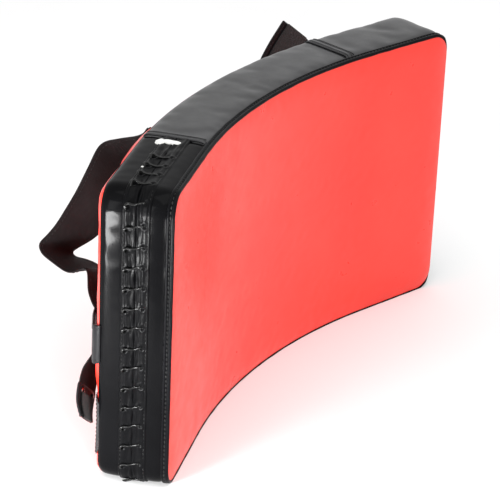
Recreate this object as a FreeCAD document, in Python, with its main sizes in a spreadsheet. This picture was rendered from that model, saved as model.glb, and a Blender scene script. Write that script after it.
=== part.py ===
"""Curved thai pad: a stuffed, laced strike shield with two slanted webbing arm straps on its back.

Frame, in millimetres: +Z up, +X along the pad from the laced end to the far end, the concave
striking face towards -Y and the back towards +Y.  The pad stands on its long curved edge.  The
origin is on that edge, at the middle of the pad's length and thickness.

"depth" is measured from the striking face towards the back, "inset" from the pad's rim inwards,
and "station" along the striking face from the laced end.
"""
import FreeCAD, Part
import math
import os

import Sketcher

Vector = FreeCAD.Vector
Placement = FreeCAD.Placement
Rotation = FreeCAD.Rotation

# ---------------------------------------------------------------------------- driving dimensions
SIZES = {
    "pad_height": 300.0,        # across the pad, vertical as it stands
    "pad_depth": 68.0,          # striking face to back panel
    "bend_radius": 557.0,       # of the striking face
    "half_turn": 17.25,         # degrees that each half of the pad turns
    "end_straight": 108.5,      # flat stretch at each end of the bend
    "corner_radius": 20.0,      # of the four corners of the face
    "skin": 2.0,                # padded leather, back to front
    "welt_depth": 6.0,          # turned seam between the face and the gusset
    "slit_depth": 34.0,         # middle of the laced slit
    "slit_gap": 2.0,
    "hem_width": 13.0,          # folded eyelet strip on each side of the slit
    "hem_thickness": 1.4,
    "gusset_thickness": 1.6,
    "strike_foam": 12.0,
    "core_sheet": 13.0,
    "foam_gap": 3.0,            # outer foam sheets, inside the rim
    "core_gap": 9.0,            # core sheets, which leave room for the lace
    "hole_radius": 2.2,
    "lace_radius": 1.8,
    "webbing_width": 50.0,
    "webbing_thickness": 2.4,
    "tip_width": 54.0,
    "tip_thickness": 3.6,
    "hook_width": 40.0,
    "hook_thickness": 1.8,
    "keeper_width": 32.0,
    "keeper_thickness": 2.0,
    "patch_thickness": 1.6,
    "rivet_radius": 4.0,
    "shank_radius": 2.0,
    "rivet_head": 1.2,
}

LACED_SEAM = 130.0              # stations of the two seams across the gusset
FAR_SEAM = 414.0
LACE_ROWS = 19
LACE_TOP_STATION = 80.0         # the lacing starts this far along the top edge
LACE_LOW_ANGLE = 50.0           # and ends this far, in degrees, round the lower corner
LACE_HALF_SPAN = 8.0            # hole to slit
STRAP_SLANT = 38.0              # degrees between each arm strap and the upright
CLEAR = 0.3                     # air between a part and its neighbour
TOUCH = 1e-6                    # points closer than this are one point

# Arm straps: station and height of the place where each one passes under its keeper.
NEAR_STATION = 68.0
NEAR_HEIGHT = 134.0
FAR_STATION = 400.0
FAR_HEIGHT = 155.0

# Routes are (along, lift, bend radius): along the strap from the keeper towards the free tab,
# lift off the back panel, and the radius of the bend at that point.
NEAR_STRAP_ROUTE = [
    (-190.0, 0.7, 0.0),
    (-176.0, 1.4, 6.0),
    (-157.0, 50.0, 10.0),
    (-51.0, 88.0, 7.0),
    (-43.0, 22.0, 8.0),
    (-20.0, 11.0, 30.0),
    (44.0, 8.0, 0.0),
]
NEAR_TAB_ROUTE = [
    (47.0, 8.0, 0.0),
    (56.5, 17.5, 12.0),
    (66.0, 18.5, 0.0),
]
NEAR_TIP_ROUTE = [
    (66.0, 18.5, 0.0),
    (85.0, 20.5, 9.0),
    (99.0, 11.0, 0.0),
]
FAR_STRAP_ROUTE = [
    (-172.0, -2.6, 0.0),
    (-158.0, -1.5, 10.0),
    (-128.0, 44.0, 25.0),
    (-70.0, 50.0, 25.0),
    (-38.0, 14.0, 20.0),
    (44.0, 8.0, 0.0),
]
FAR_TAB_ROUTE = [
    (47.0, 8.0, 0.0),
    (80.0, 88.33, 13.0),
    (92.0, 87.0, 0.0),
]
FAR_TIP_ROUTE = [
    (92.0, 87.0, 0.0),
    (146.0, 81.0, 0.0),
]

# A keeper's route: along the pad, rise off the back panel.
KEEPER_ROUTE = [
    (-66.0, 0.0),
    (-60.0, 0.0),
    (-46.0, 12.5),
    (10.0, 16.5),
    (47.0, 22.3),
    (62.0, 0.0),
    (74.0, 0.0),
]
KEEPER_BEND = 9.0
FAR_KEEPER_SAG = 4.4            # how far the bent panel falls away under each end of the far keeper

ANCHOR_ALONG = {"near": -180.0, "far": -163.0}   # middle of the patch under each strap's fixed end
ANCHOR_SIZE = (32.0, 62.0)      # along the strap, across it
NEAR_LOOP_BOX = (4.0, 27.0, 54.0, 63.0)      # station, height, length, height of the fuzzy patch
FAR_LOOP_BOX = (420.0, 200.0, 54.0, 63.0)
RIVET_SPREAD = 15.0             # each side of the tab's middle
RIVET_SETBACK = 7.0             # from the start of the leather tip

START, END, CENTRE = 1, 2, 3    # the points of a sketch's edge, as its constraints number them

doc = FreeCAD.newDocument("thai_pad")
sheet = doc.addObject("Spreadsheet::Sheet", "Sizes")
for row, (alias, value) in enumerate(SIZES.items(), start=1):
    sheet.set("A%d" % row, str(value))
    sheet.setAlias("A%d" % row, alias)
doc.recompute()


def size(alias):
    """A driving dimension's value, read from the sheet."""
    return float(getattr(sheet, alias))


def evaluate(expression):
    """The value of a sheet expression such as "Sizes.pad_depth - Sizes.skin"."""
    return float(sheet.evalExpression(expression))


# ------------------------------------------------------------------------------- places on the pad
def turn_at(station):
    """Angle between the pad's local direction and +X, positive at the laced end."""
    arc_station = station - size("end_straight")
    turn = size("half_turn") - math.degrees(arc_station / size("bend_radius"))
    return max(-size("half_turn"), min(size("half_turn"), turn))


def arc_centre():
    return Vector(0.0, -(size("bend_radius") + size("pad_depth") / 2.0), 0.0)


def pad_directions(station):
    """Unit vectors along the pad, and out of its back, at a station."""
    turn = math.radians(turn_at(station))
    along = Vector(math.cos(turn), math.sin(turn), 0.0)
    outward = Vector(-math.sin(turn), math.cos(turn), 0.0)
    return along, outward


def pad_point(station, depth, height):
    """A point of the pad from its station, depth and height."""
    along, outward = pad_directions(station)
    half_arc = math.radians(size("half_turn")) * size("bend_radius")
    overrun = 0.0
    if station < size("end_straight"):
        overrun = station - size("end_straight")
    elif station > size("end_straight") + 2.0 * half_arc:
        overrun = station - size("end_straight") - 2.0 * half_arc
    point = arc_centre() + outward * (size("bend_radius") + depth) + along * overrun
    return point + Vector(0.0, 0.0, height)


def pad_length():
    half_arc = math.radians(size("half_turn")) * size("bend_radius")
    return 2.0 * (size("end_straight") + half_arc)


def strap_frame(station, height, heading):
    """Placement on the back panel: X along the strap, Z out of the back.

    heading is -1 for a strap whose free tab points down and to the laced end, +1 for up and away.
    """
    along, outward = pad_directions(station)
    slant = math.radians(STRAP_SLANT)
    run = (along * math.sin(slant) + Vector(0.0, 0.0, math.cos(slant))) * heading
    rotation = Rotation(run, outward.cross(run), outward, "ZXY")
    return Placement(pad_point(station, size("pad_depth"), height), rotation)


def keeper_frame(station, height):
    """Placement on the back panel: X along the pad, Z out of the back."""
    along, outward = pad_directions(station)
    rotation = Rotation(along, outward.cross(along), outward, "ZXY")
    return Placement(pad_point(station, size("pad_depth"), height), rotation)


# ------------------------------------------------------------------------------- modelling helpers
def origin_plane(body, role):
    return next(item for item in body.Origin.OriginFeatures if item.Role == role)


def new_body(label):
    body = doc.addObject("PartDesign::Body", label)
    body.Label = label
    return body


def new_sketch(body, name, role):
    sketch = body.newObject("Sketcher::SketchObject", body.Name + "_" + name)
    sketch.AttachmentSupport = (origin_plane(body, role), [""])
    sketch.MapMode = "FlatFace"
    return sketch


def join_ends(sketch, first, second):
    """The end of one edge of a sketch meets the start of another."""
    sketch.addConstraint(Sketcher.Constraint("Coincident", first, END, second, START))


def bound(sketch, kind, target, value, expression):
    """A dimension of a sketch that follows the sheet."""
    index = sketch.addConstraint(Sketcher.Constraint(kind, *target, value))
    sketch.setExpression("Constraints[%d]" % index, expression)


def draw_bent_strip(sketch, radii, radius_cells, straight, straight_cell):
    """Plan of a bent layer: two arcs about the sketch's origin, with a flat stretch at each end."""
    half = math.radians(size("half_turn"))
    origin = Vector(0.0, 0.0, 0.0)
    ends = []
    for radius in radii:
        for side in (1.0, -1.0):
            radial = Vector(side * math.sin(half), math.cos(half), 0.0)
            along = Vector(side * math.cos(half), -math.sin(half), 0.0)
            ends.append((radial * radius, radial * radius + along * straight))
    inner_right, inner_left, outer_right, outer_left = ends
    first_angle = math.pi / 2.0 - half
    last_angle = math.pi / 2.0 + half
    up = Vector(0.0, 0.0, 1.0)
    sketch.addGeometry(
        [
            Part.ArcOfCircle(Part.Circle(origin, up, radii[0]), first_angle, last_angle),
            Part.LineSegment(inner_left[0], inner_left[1]),
            Part.LineSegment(inner_left[1], outer_left[1]),
            Part.LineSegment(outer_left[1], outer_left[0]),
            Part.ArcOfCircle(Part.Circle(origin, up, radii[1]), first_angle, last_angle),
            Part.LineSegment(outer_right[0], outer_right[1]),
            Part.LineSegment(outer_right[1], inner_right[1]),
            Part.LineSegment(inner_right[1], inner_right[0]),
        ],
        False,
    )
    for edge in (0, 1, 2, 5, 6):
        join_ends(sketch, edge, edge + 1)
    join_ends(sketch, 7, 0)
    sketch.addConstraint(Sketcher.Constraint("Coincident", 3, END, 4, END))
    sketch.addConstraint(Sketcher.Constraint("Coincident", 4, START, 5, START))
    for arc in (0, 4):
        sketch.addConstraint(Sketcher.Constraint("Coincident", arc, CENTRE, -1, START))
    bound(sketch, "Radius", (0,), radii[0], radius_cells[0])
    bound(sketch, "Radius", (4,), radii[1], radius_cells[1])
    for flat in (1, 3, 5, 7):
        bound(sketch, "Distance", (flat,), straight, straight_cell)


def rim_edges(shape):
    """Names of the short level edges at the two ends of a bent block, where its corners round off."""
    names = []
    reach = max(abs(vertex.X) for vertex in shape.Vertexes)
    for number, edge in enumerate(shape.Edges, start=1):
        start, end = (vertex.Point for vertex in edge.Vertexes)
        level = abs(start.z - end.z) < TOUCH
        at_end = min(abs(start.x), abs(end.x)) > reach - size("pad_depth")
        radial = abs((end - start).normalize().x) < math.sin(math.radians(size("half_turn"))) + 1e-3
        if level and at_end and radial and isinstance(edge.Curve, (Part.Line, Part.LineSegment)):
            names.append("Edge%d" % number)
    return names


def bent_block(label, front, back, inset):
    """A bent block with rounded corners between two depths; each argument is a sheet expression."""
    body = new_body(label)
    sketch = new_sketch(body, "plan", "XY_Plane")
    values = [evaluate(text) for text in (front, back, inset)]
    radii = [size("bend_radius") + value for value in values[:2]]
    radius_cells = ["Sizes.bend_radius + %s" % text for text in (front, back)]
    straight_cell = "Sizes.end_straight - (%s)" % inset
    draw_bent_strip(sketch, radii, radius_cells, size("end_straight") - values[2], straight_cell)
    pad = body.newObject("PartDesign::Pad", label + "_pad")
    pad.Profile = sketch
    pad.setExpression("Length", "Sizes.pad_height - 2 * (%s)" % inset)
    doc.recompute()
    rounding = body.newObject("PartDesign::Fillet", label + "_rounding")
    rounding.Base = (pad, rim_edges(pad.Shape))
    rounding.setExpression("Radius", "Sizes.corner_radius - (%s)" % inset)
    body.Placement = Placement(arc_centre(), Rotation())
    body.setExpression("Placement.Base.z", inset)
    doc.recompute()
    return body


def boolean(kind, label, base, tool):
    result = doc.addObject("Part::" + kind, label)
    result.Label = label
    result.Base = base
    result.Tool = tool
    return result


def rim_ring(label, front, back, outer, inner):
    """A closed band of leather round the pad's rim, between two depths and two insets."""
    outside = bent_block(label + "_outside", front, back, outer)
    inside = bent_block(label + "_inside", front, back, inner)
    return boolean("Cut", label, outside, inside)


def zone(label, low, high):
    """A plain box between two corners, used to part one piece from the next."""
    box = doc.addObject("Part::Box", label)
    box.Length = high.x - low.x
    box.Width = high.y - low.y
    box.Height = high.z - low.z
    box.Placement.Base = low
    return box


def end_zone(label, station, side):
    """Everything past the plane square to the pad at a station; side is -1 for the laced end."""
    reach = 400.0
    along, outward = pad_directions(station)
    box = doc.addObject("Part::Box", label)
    box.Length = reach
    box.Width = reach
    box.Height = size("pad_height") + reach
    rotation = Rotation(along, outward, Vector(0.0, 0.0, 1.0), "ZXY")
    corner = pad_point(station, size("pad_depth") / 2.0, -reach / 2.0) - outward * (reach / 2.0)
    if side < 0:
        corner = corner - along * reach
    box.Placement = Placement(corner, rotation)
    return box


# ------------------------------------------------------------------------------------------ ribbons
def rounded_route(route):
    """Lines and tangent arcs through a route of (x, z, bend radius) points, as Part geometry."""
    points = [Vector(x, z, 0.0) for x, z, _ in route]
    pieces = []
    start = points[0]
    for before, corner, after, step in zip(points, points[1:], points[2:], route[1:]):
        incoming = (corner - before).normalize()
        outgoing = (after - corner).normalize()
        turn = incoming.getAngle(outgoing)
        cut = step[2] * math.tan(turn / 2.0)
        arc_start = corner - incoming * cut
        arc_end = corner + outgoing * cut
        bisector = (outgoing - incoming).normalize()
        middle = corner + bisector * (step[2] / math.cos(turn / 2.0) - step[2])
        pieces.append(Part.LineSegment(start, arc_start))
        pieces.append(Part.Arc(arc_start, middle, arc_end))
        start = arc_end
    pieces.append(Part.LineSegment(start, points[-1]))
    return pieces


def turned(route):
    """A route seen from its own start, with its first run along the local X axis."""
    start_x, start_z, _ = route[0]
    tilt = math.atan2(route[1][1] - start_z, route[1][0] - start_x)
    local = []
    for x, z, radius in route:
        across, up = x - start_x, z - start_z
        local_x = across * math.cos(tilt) + up * math.sin(tilt)
        local_z = up * math.cos(tilt) - across * math.sin(tilt)
        local.append((local_x, local_z, radius))
    return local, tilt


def ribbon(label, frame, route, width, thickness):
    """A strap of even width and thickness that follows a route in its frame's XZ plane."""
    local, tilt = turned(route)
    body = new_body(label)
    path = new_sketch(body, "route", "XZ_Plane")
    pieces = rounded_route(local)
    path.addGeometry(pieces, False)
    for number in range(len(pieces) - 1):
        join_neighbours(path, number)
    section = new_sketch(body, "section", "YZ_Plane")
    draw_section(section, width, thickness)
    doc.recompute()
    sweep = body.newObject("PartDesign::AdditivePipe", label + "_sweep")
    sweep.Profile = section
    sweep.Spine = (path, ["Edge%d" % (number + 1) for number in range(len(pieces))])
    start = Vector(route[0][0], 0.0, route[0][1])
    lean = Rotation(Vector(0.0, 1.0, 0.0), -math.degrees(tilt))
    body.Placement = frame.multiply(Placement(start, lean))
    doc.recompute()
    return body


def join_neighbours(path, number):
    """Ties one piece of a route to the next, whichever way round their ends were stored."""
    for first_end in (START, END):
        for second_end in (START, END):
            gap = path.getPoint(number, first_end) - path.getPoint(number + 1, second_end)
            if gap.Length < TOUCH:
                path.addConstraint(
                    Sketcher.Constraint("Coincident", number, first_end, number + 1, second_end))


def draw_section(section, width, thickness):
    """A rectangle about the sketch's origin, as wide and thick as two cells of the sheet."""
    half_width = size(width) / 2.0
    half_thickness = size(thickness) / 2.0
    corners = [
        Vector(-half_width, -half_thickness, 0.0),
        Vector(half_width, -half_thickness, 0.0),
        Vector(half_width, half_thickness, 0.0),
        Vector(-half_width, half_thickness, 0.0),
    ]
    for number in range(4):
        section.addGeometry(Part.LineSegment(corners[number], corners[(number + 1) % 4]), False)
    for number in range(4):
        join_ends(section, number, (number + 1) % 4)
    for number in (0, 2):
        section.addConstraint(Sketcher.Constraint("Horizontal", number))
    for number in (1, 3):
        section.addConstraint(Sketcher.Constraint("Vertical", number))
    section.addConstraint(Sketcher.Constraint("Symmetric", 0, START, 1, END, -1, START))
    bound(section, "Distance", (0,), 2.0 * half_width, "Sizes." + width)
    bound(section, "Distance", (1,), 2.0 * half_thickness, "Sizes." + thickness)


# -------------------------------------------------------------------------------- cover and stuffing
def make_panels():
    """The two red panels: the striking face inside its seam, and the back out to the rim."""
    back_face = "Sizes.pad_depth - Sizes.skin"
    front = bent_block("front_panel", "0", "Sizes.skin", "Sizes.skin")
    back = bent_block("back_panel", back_face, "Sizes.pad_depth", "0")
    welt = rim_ring("front_welt", "0", "Sizes.welt_depth", "0", "Sizes.skin")
    return [front, back, welt]


def make_stuffing():
    """A firm strike sheet, three core sheets and a backing sheet, stacked from face to back."""
    sheets = []
    front = "Sizes.skin"
    stack = [("strike_foam", "Sizes.strike_foam", "Sizes.foam_gap")]
    stack += [("core_foam_%d" % number, "Sizes.core_sheet", "Sizes.core_gap") for number in (1, 2, 3)]
    for label, thickness, gap in stack:
        back = front + " + " + thickness
        sheets.append(bent_block(label, front, back, gap))
        front = back
    sheets.append(bent_block("back_foam", front, "Sizes.pad_depth - Sizes.skin", "Sizes.foam_gap"))
    return sheets


def make_gussets():
    """The black rim: three plain lengths, and round the laced end two lengths with folded hems."""
    back_face = "Sizes.pad_depth - Sizes.skin"
    rim = rim_ring("rim", "Sizes.welt_depth", back_face, "0", "Sizes.skin")
    laced_zone = end_zone("laced_zone", LACED_SEAM, -1)
    far_zone = end_zone("far_zone", FAR_SEAM, 1)
    past_laced = boolean("Cut", "rim_past_laced_end", rim, laced_zone)
    far_gusset = boolean("Common", "far_gusset", past_laced, far_zone)
    middle = boolean("Cut", "rim_middle", past_laced, far_zone)
    reach = pad_length()
    half_height = size("pad_height") / 2.0
    upper = zone("upper_zone", Vector(-reach, -reach, half_height), Vector(reach, reach, 3.0 * half_height))
    top_gusset = boolean("Common", "top_gusset", middle, upper)
    bottom_gusset = boolean("Cut", "bottom_gusset", middle, upper)
    laced = make_laced_gussets(laced_zone)
    return [top_gusset, bottom_gusset, far_gusset] + laced


def make_laced_gussets(laced_zone):
    """Two gusset lengths with an eyelet hem folded over each, all four punched for the lace."""
    punches = make_punches()
    half_gap = "Sizes.slit_gap / 2"
    front_edge = "Sizes.slit_depth - " + half_gap
    back_edge = "Sizes.slit_depth + " + half_gap
    under = "Sizes.hem_thickness"
    inside = "Sizes.hem_thickness + Sizes.gusset_thickness"
    plans = [
        ("laced_gusset_front", "Sizes.welt_depth", front_edge, under, inside),
        ("laced_gusset_back", back_edge, "Sizes.pad_depth - Sizes.skin", under, inside),
        ("lace_hem_front", front_edge + " - Sizes.hem_width", front_edge, "0", under),
        ("lace_hem_back", back_edge, back_edge + " + Sizes.hem_width", "0", under),
    ]
    pieces = []
    for label, front, back, outer, inner in plans:
        ring = rim_ring(label + "_ring", front, back, outer, inner)
        strip = boolean("Common", label + "_strip", ring, laced_zone)
        pieces.append(boolean("Cut", label, strip, punches))
    return pieces


# ------------------------------------------------------------------------------------------- lacing
def rim_place(travel):
    """Station, height, and outward direction along and up the pad, at a travel along the laced rim.

    travel runs from the top row of lacing, round the laced end, to the lower corner.
    """
    radius = size("corner_radius")
    flat = LACE_TOP_STATION - radius
    corner = radius * math.pi / 2.0
    side = size("pad_height") - 2.0 * radius
    if travel < flat:
        return LACE_TOP_STATION - travel, size("pad_height"), 0.0, 1.0
    travel -= flat
    if travel < corner:
        sine, cosine = math.sin(travel / radius), math.cos(travel / radius)
        low = size("pad_height") - radius
        return radius - radius * sine, low + radius * cosine, -sine, cosine
    travel -= corner
    if travel < side:
        return 0.0, size("pad_height") - radius - travel, -1.0, 0.0
    travel -= side
    sine, cosine = math.sin(travel / radius), math.cos(travel / radius)
    return radius - radius * cosine, radius - radius * sine, -cosine, -sine


def lace_travel():
    """Length of the laced stretch of the rim."""
    radius = size("corner_radius")
    corners = radius * (math.pi / 2.0 + math.radians(LACE_LOW_ANGLE))
    return LACE_TOP_STATION - radius + corners + size("pad_height") - 2.0 * radius


def lace_point(travel, depth, proud):
    """A point at a travel along the laced rim, proud of the rim's surface."""
    station, height, out_along, out_up = rim_place(travel)
    along, _ = pad_directions(station)
    outward = along * out_along + Vector(0.0, 0.0, out_up)
    return pad_point(station, depth, height) + outward * proud, outward


def lace_rows():
    pitch = lace_travel() / (LACE_ROWS - 1)
    return [row * pitch for row in range(LACE_ROWS)]


def make_punches():
    """One round punch for every hole, fused into a single cutting tool."""
    punches = []
    for travel in lace_rows():
        for side in (-1, 1):
            depth = size("slit_depth") + side * LACE_HALF_SPAN
            start, outward = lace_point(travel, depth, -LACE_HALF_SPAN)
            punch = doc.addObject("Part::Cylinder", "punch")
            punch.setExpression("Radius", "Sizes.hole_radius")
            punch.Height = 2.0 * LACE_HALF_SPAN
            punch.Placement = Placement(start, Rotation(Vector(0.0, 0.0, 1.0), outward))
            punches.append(punch)
    tool = doc.addObject("Part::MultiFuse", "lace_punches")
    tool.Shapes = punches
    return tool


def make_lace():
    """One cord: over the slit at each row, down its hole, and slantwise inside to the next row."""
    proud = size("lace_radius") + 0.4
    sunk = -(size("hem_thickness") + size("gusset_thickness") + size("lace_radius") + 0.4)
    points = []
    for travel in lace_rows():
        for side in (-1, 1):
            depth = size("slit_depth") + side * LACE_HALF_SPAN
            levels = (sunk, proud) if side < 0 else (proud, sunk)
            points += [lace_point(travel, depth, level)[0] for level in levels]
    pieces = tangent_run(points)
    path = Part.Wire([piece.toShape() for piece in pieces])
    first = pieces[0]
    heading = (first.EndPoint - first.StartPoint).normalize()
    disc = Part.Wire([Part.makeCircle(size("lace_radius"), first.StartPoint, heading)])
    cord = doc.addObject("Part::Feature", "lace")
    cord.Shape = path.makePipeShell([disc], True, False)
    cord.Label = "lace"
    expected = math.pi * size("lace_radius") ** 2 * path.Length
    print("lace volume over section times length: %.3f" % (cord.Shape.Volume / expected))
    return cord


def tangent_run(points):
    """Straight runs joined by tangent arcs, each arc as large as its two runs allow."""
    pieces = []
    start = points[0]
    for before, corner, after in zip(points, points[1:], points[2:]):
        incoming = (corner - before).normalize()
        outgoing = (after - corner).normalize()
        turn = incoming.getAngle(outgoing)
        cut = 0.45 * min((corner - before).Length, (after - corner).Length)
        radius = cut / math.tan(turn / 2.0)
        bisector = (outgoing - incoming).normalize()
        middle = corner + bisector * (radius / math.cos(turn / 2.0) - radius)
        arc_end = corner + outgoing * cut
        pieces.append(Part.LineSegment(start, corner - incoming * cut))
        pieces.append(Part.Arc(corner - incoming * cut, middle, arc_end))
        start = arc_end
    pieces.append(Part.LineSegment(start, points[-1]))
    return pieces


# ---------------------------------------------------------------------------------------- arm straps
def skin_patch(label, frame, length, width, front, back):
    """A patch that lies on the curved back: a slanted box shared with a bent layer."""
    layer = bent_block(label + "_layer", front, back, "0")
    box = doc.addObject("Part::Box", label + "_box")
    box.Length = length
    box.Width = width
    box.Height = size("pad_depth")
    corner = Vector(-length / 2.0, -width / 2.0, -size("pad_depth") / 2.0)
    box.Placement = frame.multiply(Placement(corner, Rotation()))
    return boolean("Common", label, layer, box)


def make_patches():
    """Sewn leather over each strap's fixed end, and fuzzy loop patches that the tabs close on."""
    raised = "Sizes.pad_depth"
    top = raised + " + Sizes.patch_thickness"
    patches = []
    straps = [("near", NEAR_STATION, NEAR_HEIGHT, -1), ("far", FAR_STATION, FAR_HEIGHT, 1)]
    for side, station, height, heading in straps:
        frame = strap_frame(station, height, heading)
        anchor_frame = frame.multiply(Placement(Vector(ANCHOR_ALONG[side], 0.0, 0.0), Rotation()))
        patches.append(skin_patch(side + "_anchor_patch", anchor_frame, *ANCHOR_SIZE, raised, top))
    loops = [("near_loop_patch", NEAR_LOOP_BOX), ("far_loop_patch", FAR_LOOP_BOX)]
    for label, (station, low, length, height) in loops:
        middle = station + length / 2.0
        frame = keeper_frame(middle, low + height / 2.0)
        patches.append(skin_patch(label, frame, length, height, raised, top))
    return patches


def make_keeper(side, station, height, sag):
    """A leather band sewn down at both ends, with the strap and its tab running under its middle."""
    lift = size("keeper_thickness") / 2.0 + CLEAR
    heading = 1.0 if side == "near" else -1.0
    route = []
    for along, rise in KEEPER_ROUTE:
        drop = sag * (along / KEEPER_ROUTE[-1][0]) ** 2
        route.append((along * heading, rise + lift - drop, KEEPER_BEND))
    route.sort()
    return ribbon(side + "_keeper", keeper_frame(station, height), route, "keeper_width", "keeper_thickness")


def offset_route(route, gap):
    """A route beside another one, a gap to its left, which is away from the back panel."""
    points = [Vector(x, z, 0.0) for x, z, _ in route]
    runs = [(after - before).normalize() for before, after in zip(points, points[1:])]
    shifted = []
    for index, point in enumerate(points):
        incoming = runs[max(index - 1, 0)]
        outgoing = runs[min(index, len(runs) - 1)]
        half_turn = incoming.getAngle(outgoing) / 2.0
        left = Vector(-(incoming.y + outgoing.y), incoming.x + outgoing.x, 0.0).normalize()
        moved = point + left * (gap / math.cos(half_turn))
        turns_left = incoming.x * outgoing.y - incoming.y * outgoing.x > 0.0
        radius = route[index][2] - gap if turns_left else route[index][2] + gap
        shifted.append((moved.x, moved.y, radius))
    return shifted


def route_heading(route):
    """Unit direction of a route's first run, in its own plane."""
    return Vector(route[1][0] - route[0][0], route[1][1] - route[0][1], 0.0).normalize()


def make_rivets(side, frame, tip_route):
    """Two rivets with a head on each face of the tab, and the shanks that go through it."""
    start_x, start_z, _ = tip_route[0]
    run = route_heading(tip_route)
    lean = Rotation(Vector(0.0, 1.0, 0.0), -math.degrees(math.atan2(run.y, run.x)))
    face = (size("tip_thickness") + size("rivet_head")) / 2.0
    heads = []
    shanks = []
    for across in (-RIVET_SPREAD, RIVET_SPREAD):
        middle = Vector(start_x + run.x * RIVET_SETBACK, across, start_z + run.y * RIVET_SETBACK)
        place = frame.multiply(Placement(middle, lean))
        shanks.append(cylinder(side + "_shank", place, "shank_radius", 0.0, size("tip_thickness")))
        for level in (face, -face):
            heads.append(cylinder(side + "_rivet_head", place, "rivet_radius", level, size("rivet_head")))
    rivets = doc.addObject("Part::MultiFuse", side + "_tab_rivets")
    rivets.Label = side + "_tab_rivets"
    rivets.Shapes = heads + shanks
    return rivets, shanks


def make_hook_patch(side, frame, tip_route):
    """The hook patch on the tip's inner side, which starts just past the rivets."""
    gap = (size("tip_thickness") + size("hook_thickness")) / 2.0
    inner = offset_route(tip_route, -gap)
    run = route_heading(inner)
    clear_of_rivets = RIVET_SETBACK + size("rivet_radius") + CLEAR
    start_x, start_z, bend = inner[0]
    inner[0] = (start_x + run.x * clear_of_rivets, start_z + run.y * clear_of_rivets, bend)
    return ribbon(side + "_hook_patch", frame, inner, "hook_width", "hook_thickness")


def make_tab(side, frame, web_route, tip_route):
    """The free end of a strap: webbing, a riveted leather tip and its hook patch."""
    webbing = ribbon(side + "_tab_webbing", frame, web_route, "webbing_width", "webbing_thickness")
    leather = ribbon(side + "_tip_blank", frame, tip_route, "tip_width", "tip_thickness")
    rivets, shanks = make_rivets(side, frame, tip_route)
    shank_tool = doc.addObject("Part::MultiFuse", side + "_shanks")
    shank_tool.Shapes = shanks
    tip = boolean("Cut", side + "_tab_tip", leather, shank_tool)
    return [webbing, tip, rivets, make_hook_patch(side, frame, tip_route)]


def cylinder(label, place, radius_cell, level, height):
    """A round disc or pin square to a placement, centred at a level above it."""
    disc = doc.addObject("Part::Cylinder", label)
    disc.setExpression("Radius", "Sizes." + radius_cell)
    disc.Height = height
    disc.Placement = place.multiply(Placement(Vector(0.0, 0.0, level - height / 2.0), Rotation()))
    return disc


def make_straps():
    """Both arm straps: the fixed loop, its keeper and the free tab beyond it."""
    near = strap_frame(NEAR_STATION, NEAR_HEIGHT, -1)
    far = strap_frame(FAR_STATION, FAR_HEIGHT, 1)
    pieces = [
        ribbon("near_strap", near, NEAR_STRAP_ROUTE, "webbing_width", "webbing_thickness"),
        ribbon("far_strap", far, FAR_STRAP_ROUTE, "webbing_width", "webbing_thickness"),
        make_keeper("near", NEAR_STATION, NEAR_HEIGHT, 0.0),
        make_keeper("far", FAR_STATION, FAR_HEIGHT, FAR_KEEPER_SAG),
    ]
    pieces += make_tab("near", near, NEAR_TAB_ROUTE, NEAR_TIP_ROUTE)
    pieces += make_tab("far", far, FAR_TAB_ROUTE, FAR_TIP_ROUTE)
    return pieces


# ------------------------------------------------------------------------------------------- output
def check(pieces):
    """Stops before anything is written if a feature failed or a shape is not sound."""
    doc.recompute()
    for item in doc.Objects:
        faults = [state for state in item.State if state in ("Invalid", "Error")]
        if faults:
            raise RuntimeError("%s is %s" % (item.Label, ", ".join(faults)))
    for piece in pieces:
        if piece.Shape.isNull() or not piece.Shape.isValid() or not piece.Shape.Solids:
            raise RuntimeError("%s has no sound solid" % piece.Label)


def main():
    pieces = make_panels() + make_stuffing() + make_gussets() + [make_lace()]
    pieces += make_patches() + make_straps()
    check(pieces)
    os.makedirs("parts", exist_ok=True)
    for piece in pieces:
        piece.Shape.exportStep("parts/%s.step" % piece.Label)
        box = piece.Shape.BoundBox
        print("%-20s solids %d volume %9.0f  x %.0f..%.0f y %.0f..%.0f z %.0f..%.0f" % (
            piece.Label, len(piece.Shape.Solids), piece.Shape.Volume,
            box.XMin, box.XMax, box.YMin, box.YMax, box.ZMin, box.ZMax))


main()
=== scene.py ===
"""Looks of the curved thai pad: padded leather cover, laced end, arm straps, floor, light and camera.

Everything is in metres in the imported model's frame.  A place on the pad is given by its "station"
along the striking face from the laced end, its "depth" from that face towards the back, and its
height.  "Inset" is the distance in from the rim, and "travel" the distance round the rim.
"""

import bpy
import math
import numpy as np
from mathutils import Matrix, Vector, noise


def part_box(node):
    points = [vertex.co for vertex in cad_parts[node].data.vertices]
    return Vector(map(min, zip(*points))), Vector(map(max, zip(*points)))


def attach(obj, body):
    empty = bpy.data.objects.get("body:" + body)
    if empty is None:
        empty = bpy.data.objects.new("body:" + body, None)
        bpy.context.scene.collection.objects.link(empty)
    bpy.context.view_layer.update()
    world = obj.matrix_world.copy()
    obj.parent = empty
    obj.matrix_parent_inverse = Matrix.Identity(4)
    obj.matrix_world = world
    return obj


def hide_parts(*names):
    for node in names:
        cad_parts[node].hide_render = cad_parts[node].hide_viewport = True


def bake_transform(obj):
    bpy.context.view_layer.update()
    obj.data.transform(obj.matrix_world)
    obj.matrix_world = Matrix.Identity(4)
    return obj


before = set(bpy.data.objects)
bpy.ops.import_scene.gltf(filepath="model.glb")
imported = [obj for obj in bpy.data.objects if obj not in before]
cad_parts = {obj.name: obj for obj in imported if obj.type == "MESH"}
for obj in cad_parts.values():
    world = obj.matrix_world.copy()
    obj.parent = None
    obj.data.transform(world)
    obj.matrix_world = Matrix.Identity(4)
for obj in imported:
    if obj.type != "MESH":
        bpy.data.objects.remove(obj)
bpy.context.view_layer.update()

# ---------- sizes of the pad
BACK_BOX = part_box("back_panel")
HEIGHT = BACK_BOX[1].z
DEPTH = 0.068
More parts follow.
